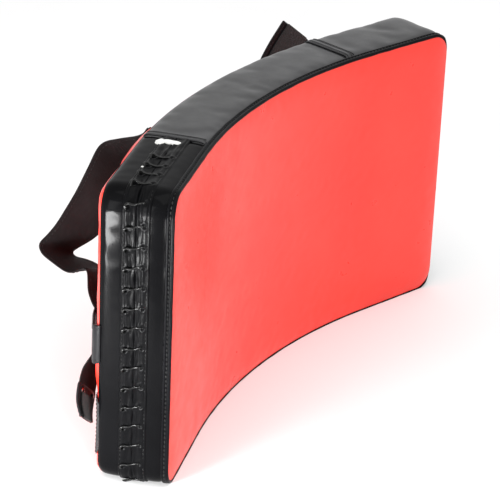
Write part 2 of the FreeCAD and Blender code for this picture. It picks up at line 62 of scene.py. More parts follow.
BEND_RADIUS = 0.557
HALF_TURN = math.radians(17.25)
END_STRAIGHT = 0.1085
CORNER = 0.020
LENGTH = 2.0 * (END_STRAIGHT + HALF_TURN * BEND_RADIUS)
ARC_CENTRE = np.array([0.0, -(BEND_RADIUS + DEPTH / 2.0), 0.0])
LACED_SEAM = 0.130
FAR_SEAM = 0.414
WELT_DEPTH = 0.006
SLIT = 0.034
SLIT_HALF_GAP = 0.001
HEM_WIDTH = 0.013
MM = 0.001


# ---------- places on the pad
def turn_directions(turn):
    """Unit vectors along the pad and out of its back, for an array of turn angles."""
    zero = np.zeros_like(turn)
    along = np.stack([np.cos(turn), np.sin(turn), zero], axis=-1)
    outward = np.stack([-np.sin(turn), np.cos(turn), zero], axis=-1)
    return along, outward


def pad_directions(station):
    """Unit vectors along the pad and out of its back, at a station."""
    station = np.asarray(station, float)
    turn = np.clip(HALF_TURN - (station - END_STRAIGHT) / BEND_RADIUS, -HALF_TURN, HALF_TURN)
    return turn_directions(turn)


def pad_point(station, depth, height):
    """Points of the pad, from arrays or numbers that give their station, depth and height."""
    station, depth, height = np.broadcast_arrays(*(np.asarray(v, float) for v in (station, depth, height)))
    along, outward = pad_directions(station)
    overrun = np.minimum(station - END_STRAIGHT, 0.0) + np.maximum(station - LENGTH + END_STRAIGHT, 0.0)
    point = ARC_CENTRE + outward * (BEND_RADIUS + depth)[..., None] + along * overrun[..., None]
    point[..., 2] += height
    return point


def unbend(points):
    """Station, depth and height of points in space."""
    relative = np.asarray(points, float) - ARC_CENTRE
    turn = np.clip(np.arctan2(-relative[..., 0], relative[..., 1]), -HALF_TURN, HALF_TURN)
    along, outward = turn_directions(turn)
    station = END_STRAIGHT + (HALF_TURN - turn) * BEND_RADIUS + (relative * along).sum(-1)
    depth = (relative * outward).sum(-1) - BEND_RADIUS
    return station, depth, relative[..., 2]


def inset_of(station, height):
    """Distance in from the pad's rounded rim."""
    across = np.minimum(station, LENGTH - station)
    up = np.minimum(height, HEIGHT - height)
    rounded = CORNER - np.hypot(CORNER - across, CORNER - up)
    return np.where((across < CORNER) & (up < CORNER), rounded, np.minimum(across, up))


def rim_place(travel):
    """Station, height, and outward direction along and up the pad, at travels round the rim.

    Travel starts at the laced seam on the top edge, goes round the laced end, along the bottom,
    round the far end, and back along the top.
    """
    arc = CORNER * math.pi / 2.0
    side = HEIGHT - 2.0 * CORNER
    flat = LENGTH - 2.0 * CORNER
    first = LACED_SEAM - CORNER
    runs = [
        (first, (LACED_SEAM, HEIGHT), (-1.0, 0.0), (0.0, 1.0), 0.0),
        (arc, (CORNER, HEIGHT - CORNER), None, None, 0.5 * math.pi),
        (side, (0.0, HEIGHT - CORNER), (0.0, -1.0), (-1.0, 0.0), 0.0),
        (arc, (CORNER, CORNER), None, None, math.pi),
        (flat, (CORNER, 0.0), (1.0, 0.0), (0.0, -1.0), 0.0),
        (arc, (LENGTH - CORNER, CORNER), None, None, 1.5 * math.pi),
        (side, (LENGTH, CORNER), (0.0, 1.0), (1.0, 0.0), 0.0),
        (arc, (LENGTH - CORNER, HEIGHT - CORNER), None, None, 0.0),
        (flat - first, (LENGTH - CORNER, HEIGHT), (-1.0, 0.0), (0.0, 1.0), 0.0),
    ]
    travel = np.asarray(travel, float)
    places = np.zeros(travel.shape + (4,))
    start = 0.0
    for number, (length, origin, heading, outward, angle) in enumerate(runs):
        last = number == len(runs) - 1
        inside = (travel >= start) & ((travel < start + length) | last)
        along = (travel[inside] - start)[:, None]
        if heading is None:
            turned = angle + along / CORNER
            normal = np.hstack([np.cos(turned), np.sin(turned)])
            place = np.array(origin) + CORNER * normal
        else:
            normal = np.repeat([outward], len(along), axis=0)
            place = np.array(origin) + along * np.array(heading)
        places[inside] = np.hstack([place, normal])
        start += length
    return places[..., 0], places[..., 1], places[..., 2], places[..., 3]


RIM_LENGTH = 2.0 * (LENGTH + HEIGHT - 4.0 * CORNER) + 2.0 * math.pi * CORNER
LACED_RIM = 2.0 * (LACED_SEAM - CORNER) + math.pi * CORNER + HEIGHT - 2.0 * CORNER


def rim_point(travel, depth, proud):
    """Points at travels round the rim, at a depth, and proud of the rim's surface."""
    station, height, out_along, out_up = rim_place(travel)
    return pad_point(station + out_along * proud, depth, height + out_up * proud)


def spaced(breaks, step):
    """Numbers from the first break to the last, even between breaks and about a step apart."""
    values = [breaks[0]]
    for low, high in zip(breaks, breaks[1:]):
        count = max(1, round((high - low) / step))
        values += list(np.linspace(low, high, count + 1)[1:])
    return np.array(values)


def ripple(points, scale, seed):
    """Smooth noise from -1 to 1 at each point, with lumps about a scale across."""
    shift = Vector((seed * 7.3, seed * 3.1, seed * 5.7))
    values = [noise.noise(Vector(point) / scale + shift) for point in np.reshape(points, (-1, 3))]
    return np.reshape(values, np.shape(points)[:-1])


def hump(offset, reach):
    """A smooth hump, 1 at no offset and gone beyond about twice its reach."""
    return np.exp(-(offset / reach) ** 2)


def edge_rise(distance, reach):
    """0 at an edge or seam, rising to 1 beyond a few times the reach."""
    return 1.0 - np.exp(-np.maximum(distance, 0.0) / reach)


def unit(vectors):
    """Vectors scaled to length 1."""
    return vectors / np.maximum(np.linalg.norm(vectors, axis=-1, keepdims=True), 1e-12)


# ---------- mesh helpers
def new_piece(name, vertices, faces, look, body="pad"):
    """A smooth-shaded mesh object that rides on a CAD body.  A look is a material and its slot."""
    material, slot = look
    mesh = bpy.data.meshes.new(name)
    mesh.from_pydata([tuple(map(float, v)) for v in vertices], [], [tuple(map(int, f)) for f in faces])
    mesh.update()
    mesh.shade_smooth()
    mesh.materials.append(material)
    piece = bpy.data.objects.new(name, mesh)
    bpy.context.scene.collection.objects.link(piece)
    if body:
        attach(piece, body)
    return piece


def grid_faces(rows, columns, closed_rows=False, closed_columns=False):
    """Quads of a grid whose points are numbered row by row."""
    faces = []
    for row in range(rows if closed_rows else rows - 1):
        for column in range(columns if closed_columns else columns - 1):
            below = (row + 1) % rows
            right = (column + 1) % columns
            faces.append((row * columns + column, row * columns + right,
                          below * columns + right, below * columns + column))
    return faces


def subdivide(piece):
    """Smooths a piece's mesh once, which splits every face in four."""
    modifier = piece.modifiers.new("smooth", "SUBSURF")
    modifier.levels = 1
    modifier.render_levels = 1
    graph = bpy.context.evaluated_depsgraph_get()
    baked = bpy.data.meshes.new_from_object(piece.evaluated_get(graph))
    piece.modifiers.clear()
    piece.data = baked
    baked.shade_smooth()


def tube_faces(rings, sides):
    """Quads of a tube whose points are numbered ring by ring, and its two end caps."""
    faces = grid_faces(rings, sides, closed_columns=True)
    faces.append(tuple(reversed(range(sides))))
    faces.append(tuple((rings - 1) * sides + side for side in range(sides)))
    return faces


def set_uv(piece, coordinates):
    """Gives every corner of the mesh the UV coordinates, in metres, of its vertex."""
    layer = piece.data.uv_layers.new(name="cloth")
    corners = np.zeros(len(piece.data.loops), np.int32)
    piece.data.loops.foreach_get("vertex_index", corners)
    layer.data.foreach_set("uv", np.asarray(coordinates, np.float32)[corners].ravel())


# ---------- materials
class Nodes:
    """A small helper that adds and links the nodes of one material."""

    def __init__(self, name):
        self.material = bpy.data.materials.new(name)
        self.material.use_nodes = True
        self.tree = self.material.node_tree
        self.shader = self.tree.nodes["Principled BSDF"]
        self.coordinates = self.add("ShaderNodeTexCoord")

    def add(self, kind, **values):
        """A new node, with settings and unlinked inputs by name."""
        node = self.tree.nodes.new(kind)
        for key, value in values.items():
            if hasattr(node, key):
                setattr(node, key, value)
            else:
                node.inputs[key.replace("_", " ")].default_value = value
        return node

    def link(self, source, target):
        self.tree.links.new(source, target)

    def noise(self, scale, detail=4.0, roughness=0.5):
        node = self.add("ShaderNodeTexNoise", Scale=scale, Detail=detail, Roughness=roughness)
        self.link(self.coordinates.outputs["Object"], node.inputs["Vector"])
        return node.outputs["Fac"]

    def pebbles(self, scale):
        """Rounded cells, by the distance from the middle of each."""
        node = self.add("ShaderNodeTexVoronoi", Scale=scale)
        node.feature = "SMOOTH_F1"
        self.link(self.coordinates.outputs["Object"], node.inputs["Vector"])
        return node.outputs["Distance"]

    def ramp(self, source, low, high, start=0.3, end=0.7):
        """Blends from the low to the high colour or value as the source goes from start to end."""
        node = self.add("ShaderNodeValToRGB")
        for element, position, value in zip(node.color_ramp.elements, (start, end), (low, high)):
            element.position = position
            element.color = (*(value if isinstance(value, tuple) else (value,) * 3), 1.0)
        self.link(source, node.inputs["Fac"])
        return node.outputs["Color"]

    def maths(self, operation, first, second):
        node = self.add("ShaderNodeMath", operation=operation)
        for socket, value in zip(node.inputs, (first, second)):
            if isinstance(value, (int, float)):
                socket.default_value = value
            else:
                self.link(value, socket)
        return node.outputs["Value"]

    def set(self, **values):
        """Sets the shader's inputs, by name, to a value or to another node's output."""
        for key, value in values.items():
            socket = self.shader.inputs[key.replace("_", " ")]
            if isinstance(value, float):
                socket.default_value = value
            else:
                self.link(value, socket)

    def bump(self, layers):
        """Chains bump nodes, one for each (height, strength, distance)."""
        previous = None
        for height, strength, distance in layers:
            node = self.add("ShaderNodeBump", Strength=strength, Distance=distance)
            self.link(height, node.inputs["Height"])
            if previous:
                self.link(previous, node.inputs["Normal"])
            previous = node.outputs["Normal"]
        self.link(previous, self.shader.inputs["Normal"])


def leather(name, dark, light, roughness, waviness, specular, coat):
    """Coated synthetic leather: fine grain, slow waves, and small changes of shade and gloss."""
    nodes = Nodes(name)
    nodes.set(Base_Color=nodes.ramp(nodes.noise(9.0, 3.0), dark, light, 0.35, 0.65),
              Roughness=nodes.ramp(nodes.noise(42.0, 5.0, 0.6), *roughness),
              Specular_IOR_Level=specular, Coat_Weight=coat, Coat_Roughness=0.08)
    nodes.bump([
        (nodes.noise(26.0, 2.0), waviness, 0.004),
        (nodes.pebbles(1500.0), 0.10, 0.0003),
        (nodes.noise(3200.0, 2.0), 0.10, 0.0002),
    ])
    slot = "red_leather" if name == "red_leather" else "black_leather"
    return nodes.material, slot


def weave(nodes, pitch):
    """Height of a plain weave, from the piece's UV coordinates in metres."""
    split = nodes.add("ShaderNodeSeparateXYZ")
    nodes.link(nodes.coordinates.outputs["UV"], split.inputs["Vector"])
    waves = []
    for axis in ("X", "Y"):
        angle = nodes.maths("MULTIPLY", split.outputs[axis], 2.0 * math.pi / pitch)
        waves.append(nodes.maths("SINE", angle, 0.0))
    return nodes.maths("MULTIPLY", waves[0], waves[1])


def cloth(name, dark, light, pitch, roughness, sheen):
    """Woven tape or thread, with a plain weave and a little fading."""
    nodes = Nodes(name)
    nodes.set(Base_Color=nodes.ramp(nodes.noise(30.0, 4.0), dark, light), Roughness=roughness,
              Sheen_Weight=sheen, Sheen_Roughness=0.5, Specular_IOR_Level=0.15)
    nodes.bump([
        (nodes.noise(60.0, 3.0), 0.25, 0.002),
        (weave(nodes, pitch), 0.7, 0.0003),
        (nodes.noise(900.0, 3.0), 0.3, 0.0003),
    ])
    return nodes.material, "webbing"


def fuzz(name, dark, light, scale, depth):
    """The loop or hook side of a touch fastener."""
    nodes = Nodes(name)
    tufts = nodes.pebbles(scale)
    nodes.set(Base_Color=nodes.ramp(tufts, light, dark, 0.0, 0.6), Roughness=0.9, Sheen_Weight=0.10,
              Sheen_Roughness=0.6, Specular_IOR_Level=0.2)
    nodes.bump([(tufts, 1.0, depth), (nodes.noise(scale * 1.7, 3.0), 0.8, depth)])
    return nodes.material, name


def foam(name, dark, light):
    """Closed-cell foam, with small cells."""
    nodes = Nodes(name)
    cells = nodes.pebbles(900.0)
    nodes.set(Base_Color=nodes.ramp(cells, light, dark, 0.1, 0.8), Roughness=0.85, Specular_IOR_Level=0.25)
    nodes.bump([(cells, 0.6, 0.0004), (nodes.noise(160.0, 4.0), 0.5, 0.001)])
    return nodes.material, name


def waxed_cord(name):
    """Smooth waxed cord with a fine twist."""
    nodes = Nodes(name)
    nodes.set(Base_Color=nodes.ramp(nodes.noise(220.0, 3.0), 0.0015, 0.004), Roughness=0.20,
              Specular_IOR_Level=0.18, Coat_Weight=0.20, Coat_Roughness=0.10)
    nodes.bump([(nodes.noise(900.0, 2.0), 0.4, 0.0004)])
    return nodes.material, name


def metal(name):
    """Black-coated metal with fine scratches."""
    nodes = Nodes(name)
    scratches = nodes.noise(700.0, 5.0, 0.7)
    nodes.set(Roughness=nodes.ramp(scratches, 0.12, 0.35), Metallic=1.0,
              Base_Color=nodes.ramp(nodes.noise(200.0), 0.18, 0.30))
    nodes.bump([(scratches, 0.1, 0.0002)])
    return nodes.material, name


# Each leather's darkest and lightest tone, range of roughness, waviness, specular level and coat.
# The rim's, laced end's, welt's and hems' leathers are lit and shaded copies of one black leather; their
# tones differ as painted sheen and painted shade.
RED = leather("red_leather", (0.80, 0.028, 0.015), (0.86, 0.037, 0.021), (0.27, 0.38), 0.05, 0.46, 0.05)
# painted shade: the laced end's black leather is given a darker tone than the rim's
BLACK = leather("black_leather", (0.0015, 0.0015, 0.0018), (0.0035, 0.0035, 0.004), (0.12, 0.22),
                0.12, 0.03, 0.045)
# painted shade: the welt, the rim's leather turned over, is given a darker tone than the rim
WELT = leather("welt_leather", (0.002, 0.002, 0.0025), (0.005, 0.005, 0.006), (0.24, 0.36),
               0.12, 0.06, 0.0)
# painted sheen: the rim's black leather is given a lighter tone than the laced end's, for the light from
# above
GUSSET = leather("gusset_leather", (0.010, 0.010, 0.011), (0.017, 0.017, 0.019), (0.32, 0.44),
                 0.16, 0.40, 0.18)
BAND = leather("band_leather", (0.005, 0.005, 0.006), (0.010, 0.010, 0.011), (0.34, 0.46),
               0.18, 0.14, 0.0)
# painted shade: the hems are given the laced end's darker tone of the black leather
HEM = leather("hem_leather", (0.0015, 0.0015, 0.0018), (0.004, 0.004, 0.0045), (0.24, 0.36),
              0.30, 0.04, 0.02)
STRAP = cloth("strap_cloth", (0.004, 0.0036, 0.0038), (0.011, 0.010, 0.0105), 0.0016, 0.70, 0.0)
THREAD = cloth("thread", 0.006, 0.018, 0.0008, 0.4, 0.05)
LOOP = fuzz("loop_pile", (0.010, 0.010, 0.011), (0.045, 0.045, 0.048), 900.0, 0.0012)
HOOK = fuzz("hook_tape", 0.006, 0.03, 700.0, 0.0009)
WHITE_FOAM = foam("foam_white", (0.72, 0.72, 0.70), (0.86, 0.86, 0.84))
DARK_FOAM = foam("foam_dark", 0.02, 0.05)
CORD = waxed_cord("lace_cord")
RIVET = metal("rivet_metal")


# ---------- stitches
def stitches(name, places, outward, pitch, length, radius, body="pad"):
    """Short threads laid end to end along a line of places, each pulled down at its two ends."""
    gaps = np.linalg.norm(np.diff(places, axis=0), axis=1)
    reach = np.concatenate([[0.0], np.cumsum(gaps)])
    count = max(1, int(reach[-1] / pitch))
    middles = (np.arange(count) + 0.5) * reach[-1] / count

    def sample(values, at):
        """Values along the line, with room left for the rings and sides of each thread."""
        columns = [np.interp(at, reach, values[:, axis]) for axis in range(3)]
        return np.stack(columns, axis=-1)[:, None, None]

    heads = sample(places, middles - length / 2.0)
    tails = sample(places, middles + length / 2.0)
    facing = sample(outward, middles)
    run = unit(tails - heads)
    up = unit(facing - run * (facing * run).sum(axis=-1, keepdims=True))
    across = np.cross(run, up)
    rings = 5
    sides = 6
    share = np.linspace(0.0, 1.0, rings)[:, None, None]
    swell = radius * np.sin(math.pi * (0.12 + 0.76 * share))
    angle = (2.0 * math.pi * np.arange(sides) / sides)[:, None]
    centre = heads + (tails - heads) * share + up * swell / 2.0
    points = centre + swell * (np.cos(angle) * across + np.sin(angle) * up)
    vertices = points.reshape(-1, 3)
    faces = [tuple(number * rings * sides + corner for corner in face)
             for number in range(count) for face in tube_faces(rings, sides)]
    piece = new_piece(name, vertices, faces, THREAD, body)
    set_uv(piece, vertices[:, :2])


# ---------- cover
CELL = 0.0062
STATIONS = spaced([0.0, CORNER, LACED_SEAM, FAR_SEAM, LENGTH - CORNER, LENGTH], CELL)
HEIGHTS = spaced([0.0, CORNER, HEIGHT - CORNER, HEIGHT], CELL)
HEM_FRONT = SLIT - SLIT_HALF_GAP - HEM_WIDTH
HEM_BACK = SLIT + SLIT_HALF_GAP + HEM_WIDTH
SEAM_LIP = 0.0025
ON_FACE = 0.0005        # a point this close to the depth of a face or seam lies on it
RIM_DEPTHS = spaced([0.0, WELT_DEPTH, WELT_DEPTH + SEAM_LIP, HEM_FRONT, SLIT - SLIT_HALF_GAP,
                     SLIT + SLIT_HALF_GAP, HEM_BACK, DEPTH - SEAM_LIP, DEPTH], CELL)


def face_plan():
    """Station and height of every point of the face's grid, with the corner squares drawn round."""
    station, height = np.meshgrid(STATIONS, HEIGHTS, indexing="ij")
    for side_along in (-1.0, 1.0):
        for side_up in (-1.0, 1.0):
            middle_along = CORNER if side_along < 0 else LENGTH - CORNER
            middle_up = CORNER if side_up < 0 else HEIGHT - CORNER
            along = (station - middle_along) * side_along / CORNER
            up = (height - middle_up) * side_up / CORNER
            inside = (along > 0) & (up > 0)
            rounded_along = along * np.sqrt(1.0 - up ** 2 / 2.0 * inside)
            rounded_up = up * np.sqrt(1.0 - along ** 2 / 2.0 * inside)
            station = np.where(inside, middle_along + side_along * CORNER * rounded_along, station)
            height = np.where(inside, middle_up + side_up * CORNER * rounded_up, height)
    return station, height


def rim_loop():
    """Grid places of the face's border, in order round it."""
    last_along = len(STATIONS) - 1
    last_up = len(HEIGHTS) - 1
    loop = [(column, 0) for column in range(last_along)]
    loop += [(last_along, row) for row in range(last_up)]
    loop += [(column, last_up) for column in range(last_along, 0, -1)]
    loop += [(0, row) for row in range(last_up, 0, -1)]
    return loop


FRONT_CROWN = 0.0038
BACK_CROWN = 0.0085
RIM_CROWN = 0.0022
SLIT_SUNK = 0.006
# The back is pressed in round this place, under the near tab's patch.
PRESSED_STATION = 0.022
PRESSED_HEIGHT = 0.048
PRESSED_REACH = 0.046


def seam_crown(depth):
    """Share of the rim's crown at a depth, between its seams with the two faces."""
    return edge_rise(depth - WELT_DEPTH, 0.003) * edge_rise(DEPTH - depth, 0.004)


def rim_crown(station, depth):
    """How far the stuffed rim stands proud between its seams."""
    crown = RIM_CROWN * seam_crown(depth)
    for seam in (LACED_SEAM, FAR_SEAM):
        crown = crown * edge_rise(np.abs(station - seam) + 0.008, 0.004)
    return crown - (station < LACED_SEAM) * SLIT_SUNK * hump(depth - SLIT, 0.004)


def cover_points():
    """The whole cover at rest: front grid, back grid, then the rim's rows between them."""
    station, height = face_plan()
    inset = inset_of(station, height)
    front = pad_point(station, -FRONT_CROWN * edge_rise(inset, 0.009), height)
    corner = np.hypot(np.minimum(station, LENGTH - station), np.minimum(height, HEIGHT - height))
    pressed = np.hypot(station - PRESSED_STATION, height - PRESSED_HEIGHT) / PRESSED_REACH
    crown = BACK_CROWN * (1.0 - 0.5 * hump(corner, 0.035)) * (1.0 - 0.45 * np.exp(-pressed ** 4))
    back = pad_point(station, DEPTH + crown * edge_rise(inset, 0.006), height)
    columns, rows = np.array(rim_loop()).T
    station, height = station[columns, rows], height[columns, rows]
    middle_along = np.clip(station, CORNER, LENGTH - CORNER)
    middle_up = np.clip(height, CORNER, HEIGHT - CORNER)
    along, up = unit(np.stack([station - middle_along, height - middle_up], axis=-1)).T
    bands = []
    for depth in RIM_DEPTHS[1:-1]:
        proud = rim_crown(station, depth)
        bands.append(pad_point(station + along * proud, depth, height + up * proud))
    return np.concatenate([front.reshape(-1, 3), back.reshape(-1, 3)] + bands)


def panel_of(station, depth, height):
    """The panel of the rim that a place belongs to."""
    if station < LACED_SEAM:
        return "laced_front" if depth < SLIT + SLIT_HALF_GAP else "laced_back"
    if station > FAR_SEAM:
        return "far"
    return "top" if height > HEIGHT / 2.0 else "bottom"


def cover_faces():
    """Quads of the cover, sorted by the panel that they belong to."""
    rows = len(HEIGHTS)
    grid = len(STATIONS) * rows
    loop = rim_loop()
    panels = {name: [] for name in ("front", "back", "top", "bottom", "far", "laced_front", "laced_back")}
    for first, second, third, fourth in grid_faces(len(STATIONS), rows):
        panels["front"].append((second, third, fourth, first))
        panels["back"].append((grid + fourth, grid + third, grid + second, grid + first))
    last_band = len(RIM_DEPTHS) - 1

    def index(band, number):
        column, row = loop[number % len(loop)]
        if band == 0:
            return column * rows + row
        if band == last_band:
            return grid + column * rows + row
        return 2 * grid + (band - 1) * len(loop) + number % len(loop)

    station, height = face_plan()
    for number in range(len(loop)):
        ends = [loop[number], loop[(number + 1) % len(loop)]]
        middle_station = np.mean([station[end] for end in ends])
        middle_height = np.mean([height[end] for end in ends])
        for band in range(last_band):
            depth = (RIM_DEPTHS[band] + RIM_DEPTHS[band + 1]) / 2.0
            name = panel_of(middle_station, depth, middle_height)
            panels[name].append((index(band + 1, number), index(band + 1, number + 1),
                                 index(band, number + 1), index(band, number)))
    return panels


def pin_weights(points):
    """How firmly each point is held in the simulation: 1 on the seams, less where the foam gives."""
    station, depth, height = unbend(points)
    weight = np.where(depth < ON_FACE, 0.55, 0.12)
    rim = np.abs(inset_of(station, height)) < 0.004
    held = (depth < WELT_DEPTH + ON_FACE) | (np.abs(depth - DEPTH) < ON_FACE)
    for seam in (LACED_SEAM, FAR_SEAM):
        held |= np.abs(station - seam) < CELL / 3.0
    held |= (station < LACED_SEAM) & (np.abs(depth - SLIT) < HEM_WIDTH + 0.002)
    weight[rim & held] = 1.0
    return weight


CLOTH_FRAMES = 20
CLOTH_SETTINGS = {
    "quality": 5,
    "mass": 0.25,
    "tension_stiffness": 18.0,
    "compression_stiffness": 12.0,
    "bending_stiffness": 0.4,
    "shrink_min": -0.035,
    "shrink_max": -0.035,
    "use_pressure": True,
    "uniform_pressure_force": 4.0,
    "vertex_group_mass": "held",
    "pin_stiffness": 1.0,
}
FRONT_CAP = 0.0003
RIM_CAP = 0.0006
LACED_CAP = 0.0002
BACK_CAP = 0.0016


def cloth_caps(points):
    """How far the simulation may move each point: least where the firm foam holds the cover flat."""
    station, depth, _ = unbend(points)
    caps = np.where(station < LACED_SEAM, LACED_CAP, RIM_CAP)
    caps = np.where(depth > DEPTH - ON_FACE, BACK_CAP, caps)
    return np.where(depth < ON_FACE, FRONT_CAP, caps)


def inflate(points, faces):
    """Cloth simulation of the cover under the stuffing's pressure, held along its seams."""
    mesh = bpy.data.meshes.new("cover_cloth")
    mesh.from_pydata(points.tolist(), [], faces)
    cover = bpy.data.objects.new("cover_cloth", mesh)
    scene = bpy.context.scene
    scene.collection.objects.link(cover)
    group = cover.vertex_groups.new(name="held")
    for number, weight in enumerate(pin_weights(points)):
        group.add([number], float(weight), "REPLACE")
    cloth_modifier = cover.modifiers.new("cloth", "CLOTH")
    for key, value in CLOTH_SETTINGS.items():
        setattr(cloth_modifier.settings, key, value)
    cloth_modifier.settings.effector_weights.gravity = 0.0
    cloth_modifier.point_cache.frame_end = CLOTH_FRAMES
    for step in range(1, CLOTH_FRAMES + 1):
        scene.frame_set(step)
    settled = cover.evaluated_get(bpy.context.evaluated_depsgraph_get()).data
    moved = np.zeros(len(points) * 3, np.float32)
    settled.vertices.foreach_get("co", moved)
    scene.frame_set(1)
    bpy.data.objects.remove(cover)
    shift = moved.reshape(-1, 3).astype(float) - points
    distance = np.linalg.norm(shift, axis=1)
    caps = cloth_caps(points)
    eased = caps * np.tanh(distance / caps) / np.maximum(distance, 1e-9)
    return points + shift * eased[:, None]


def make_panel(name, points, faces, look, node, tuck, pull=(0.0, 0.0, 0.0)):
    """One panel of the cover, cut from the settled cloth, its border turned in at the seams.

    pull draws the border towards the middle of the pad, along the station, depth and height.
    """
    used = sorted({corner for face in faces for corner in face})
    renumber = {old: new for new, old in enumerate(used)}
    local = [tuple(renumber[corner] for corner in face) for face in faces]
    piece = new_piece(name, points[used], local, look, body=None)
    normals = np.array([vertex.normal for vertex in piece.data.vertices])
    count = {}
    for face in local:
        for first, second in zip(face, face[1:] + face[:1]):
            key = (min(first, second), max(first, second))
            count[key] = count.get(key, 0) + 1
    border = sorted({corner for edge, uses in count.items() if uses == 1 for corner in edge})
    places = np.stack(unbend(points[used][border]), axis=-1)
    middle = np.array([LENGTH / 2.0, DEPTH / 2.0, HEIGHT / 2.0])
    inward = np.sign(middle - places) * pull
    turned_in = pad_point(*(places + inward).T) - normals[border] * tuck
    for corner, place in zip(border, turned_in):
        piece.data.vertices[corner].co = place
    subdivide(piece)
    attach(piece, "pad")
    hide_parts(node)


def make_cover():
    """The stuffed cover: two red panels and five lengths of black rim.

    Returns the depth of the settled back panel at every point of the face's grid.
    """
    points = cover_points()
    panels = cover_faces()
    points = inflate(points, [face for faces in panels.values() for face in faces])
    face_pull = (0.0014, 0.0, 0.0014)
    make_panel("front_cover", points, panels["front"], RED, "front_panel", 0.0008, face_pull)
    make_panel("back_cover", points, panels["back"], RED, "back_panel", 0.0004, face_pull)
    for name in ("top", "bottom", "far"):
        make_panel(name + "_cover", points, panels[name], GUSSET, name + "_gusset", 0.0010)
    for name in ("front", "back"):
        make_panel("laced_cover_" + name, points, panels["laced_" + name], BLACK,
                   "laced_gusset_" + name, 0.0010)
    grid = len(STATIONS) * len(HEIGHTS)
    _, depth, _ = unbend(points[grid:2 * grid])
    return depth.reshape(len(STATIONS), len(HEIGHTS))


def back_surface(depths, station, height):
    """Depth of the settled back panel at a station and height, read from its grid."""
    column = np.clip(np.interp(station, STATIONS, np.arange(len(STATIONS))), 0, len(STATIONS) - 1.001)
    row = np.clip(np.interp(height, HEIGHTS, np.arange(len(HEIGHTS))), 0, len(HEIGHTS) - 1.001)
    left, low = column.astype(int), row.astype(int)
    across, up = column - left, row - low
    lower = depths[left, low] * (1 - across) + depths[left + 1, low] * across
    upper = depths[left, low + 1] * (1 - across) + depths[left + 1, low + 1] * across
    return lower * (1 - up) + upper * up


WELT_PROFILE = np.array([
    (-2.4, 0.6), (-1.5, -1.2), (-0.3, -1.7), (0.9, -1.3), (1.6, -0.3), (1.7, 0.9), (1.2, 2.0), (0.3, 2.7),
    (0.9, 3.4), (1.8, 4.0), (2.1, 4.9), (1.8, 5.8), (0.8, 6.5), (-1.8, 6.8),
]) * MM                 # how far each point of the turned seam is proud of the rim, and its depth
WELT_FRONT = 0.002
WELT_STITCH_DEPTH = 0.0027


def make_welt():
    """The turned seam round the striking face, thinner at the far end, with its topstitching."""
    travel = np.linspace(0.0, RIM_LENGTH, int(RIM_LENGTH / 0.003), endpoint=False)
    far_side = np.clip((rim_place(travel)[0] - LENGTH + 0.006) / 0.005, 0.0, 1.0)
    size = 1.0 - 0.45 * far_side
    rows = [rim_point(travel, WELT_FRONT + (depth - WELT_FRONT) * size, proud * size - 0.0007 * far_side)
            for proud, depth in WELT_PROFILE]
    points = np.stack(rows, axis=1)
    outward = unit(points - points.mean(axis=1, keepdims=True))
    points = points + outward * (ripple(points, 0.014, 3) * 0.35 * MM)[..., None]
    faces = grid_faces(len(travel), len(WELT_PROFILE), closed_rows=True)
    welt = new_piece("front_seam", points.reshape(-1, 3), faces, WELT)
    subdivide(welt)
    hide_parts("front_welt")
    line = rim_point(travel, WELT_STITCH_DEPTH, 0.0008)
    facing = rim_point(travel, WELT_STITCH_DEPTH, 0.01) - line
    stitches("front_seam_stitches", line, facing, 0.0046, 0.0032, 0.0007)


# ---------- laced end
LACE_ROWS = 19
LACE_START = LACED_SEAM - 0.080
LACE_LOW_TURN = math.radians(50.0)      # the lacing ends this far round the lower corner
LACE_RUN = 0.060 + CORNER * (math.pi / 2.0 + LACE_LOW_TURN) + HEIGHT - 2.0 * CORNER
LACE_PITCH = LACE_RUN / (LACE_ROWS - 1)
LACE_HALF_SPAN = 0.008
HEM_STITCH = 0.0026
LACE_SLANT = 0.0024
LACE_RADIUS = 0.00112


def lace_holes(side):
    """Travels of the holes on one side of the slit: -1 towards the face, 1 towards the back."""
    return LACE_START + LACE_PITCH * np.arange(LACE_ROWS) + side * LACE_SLANT


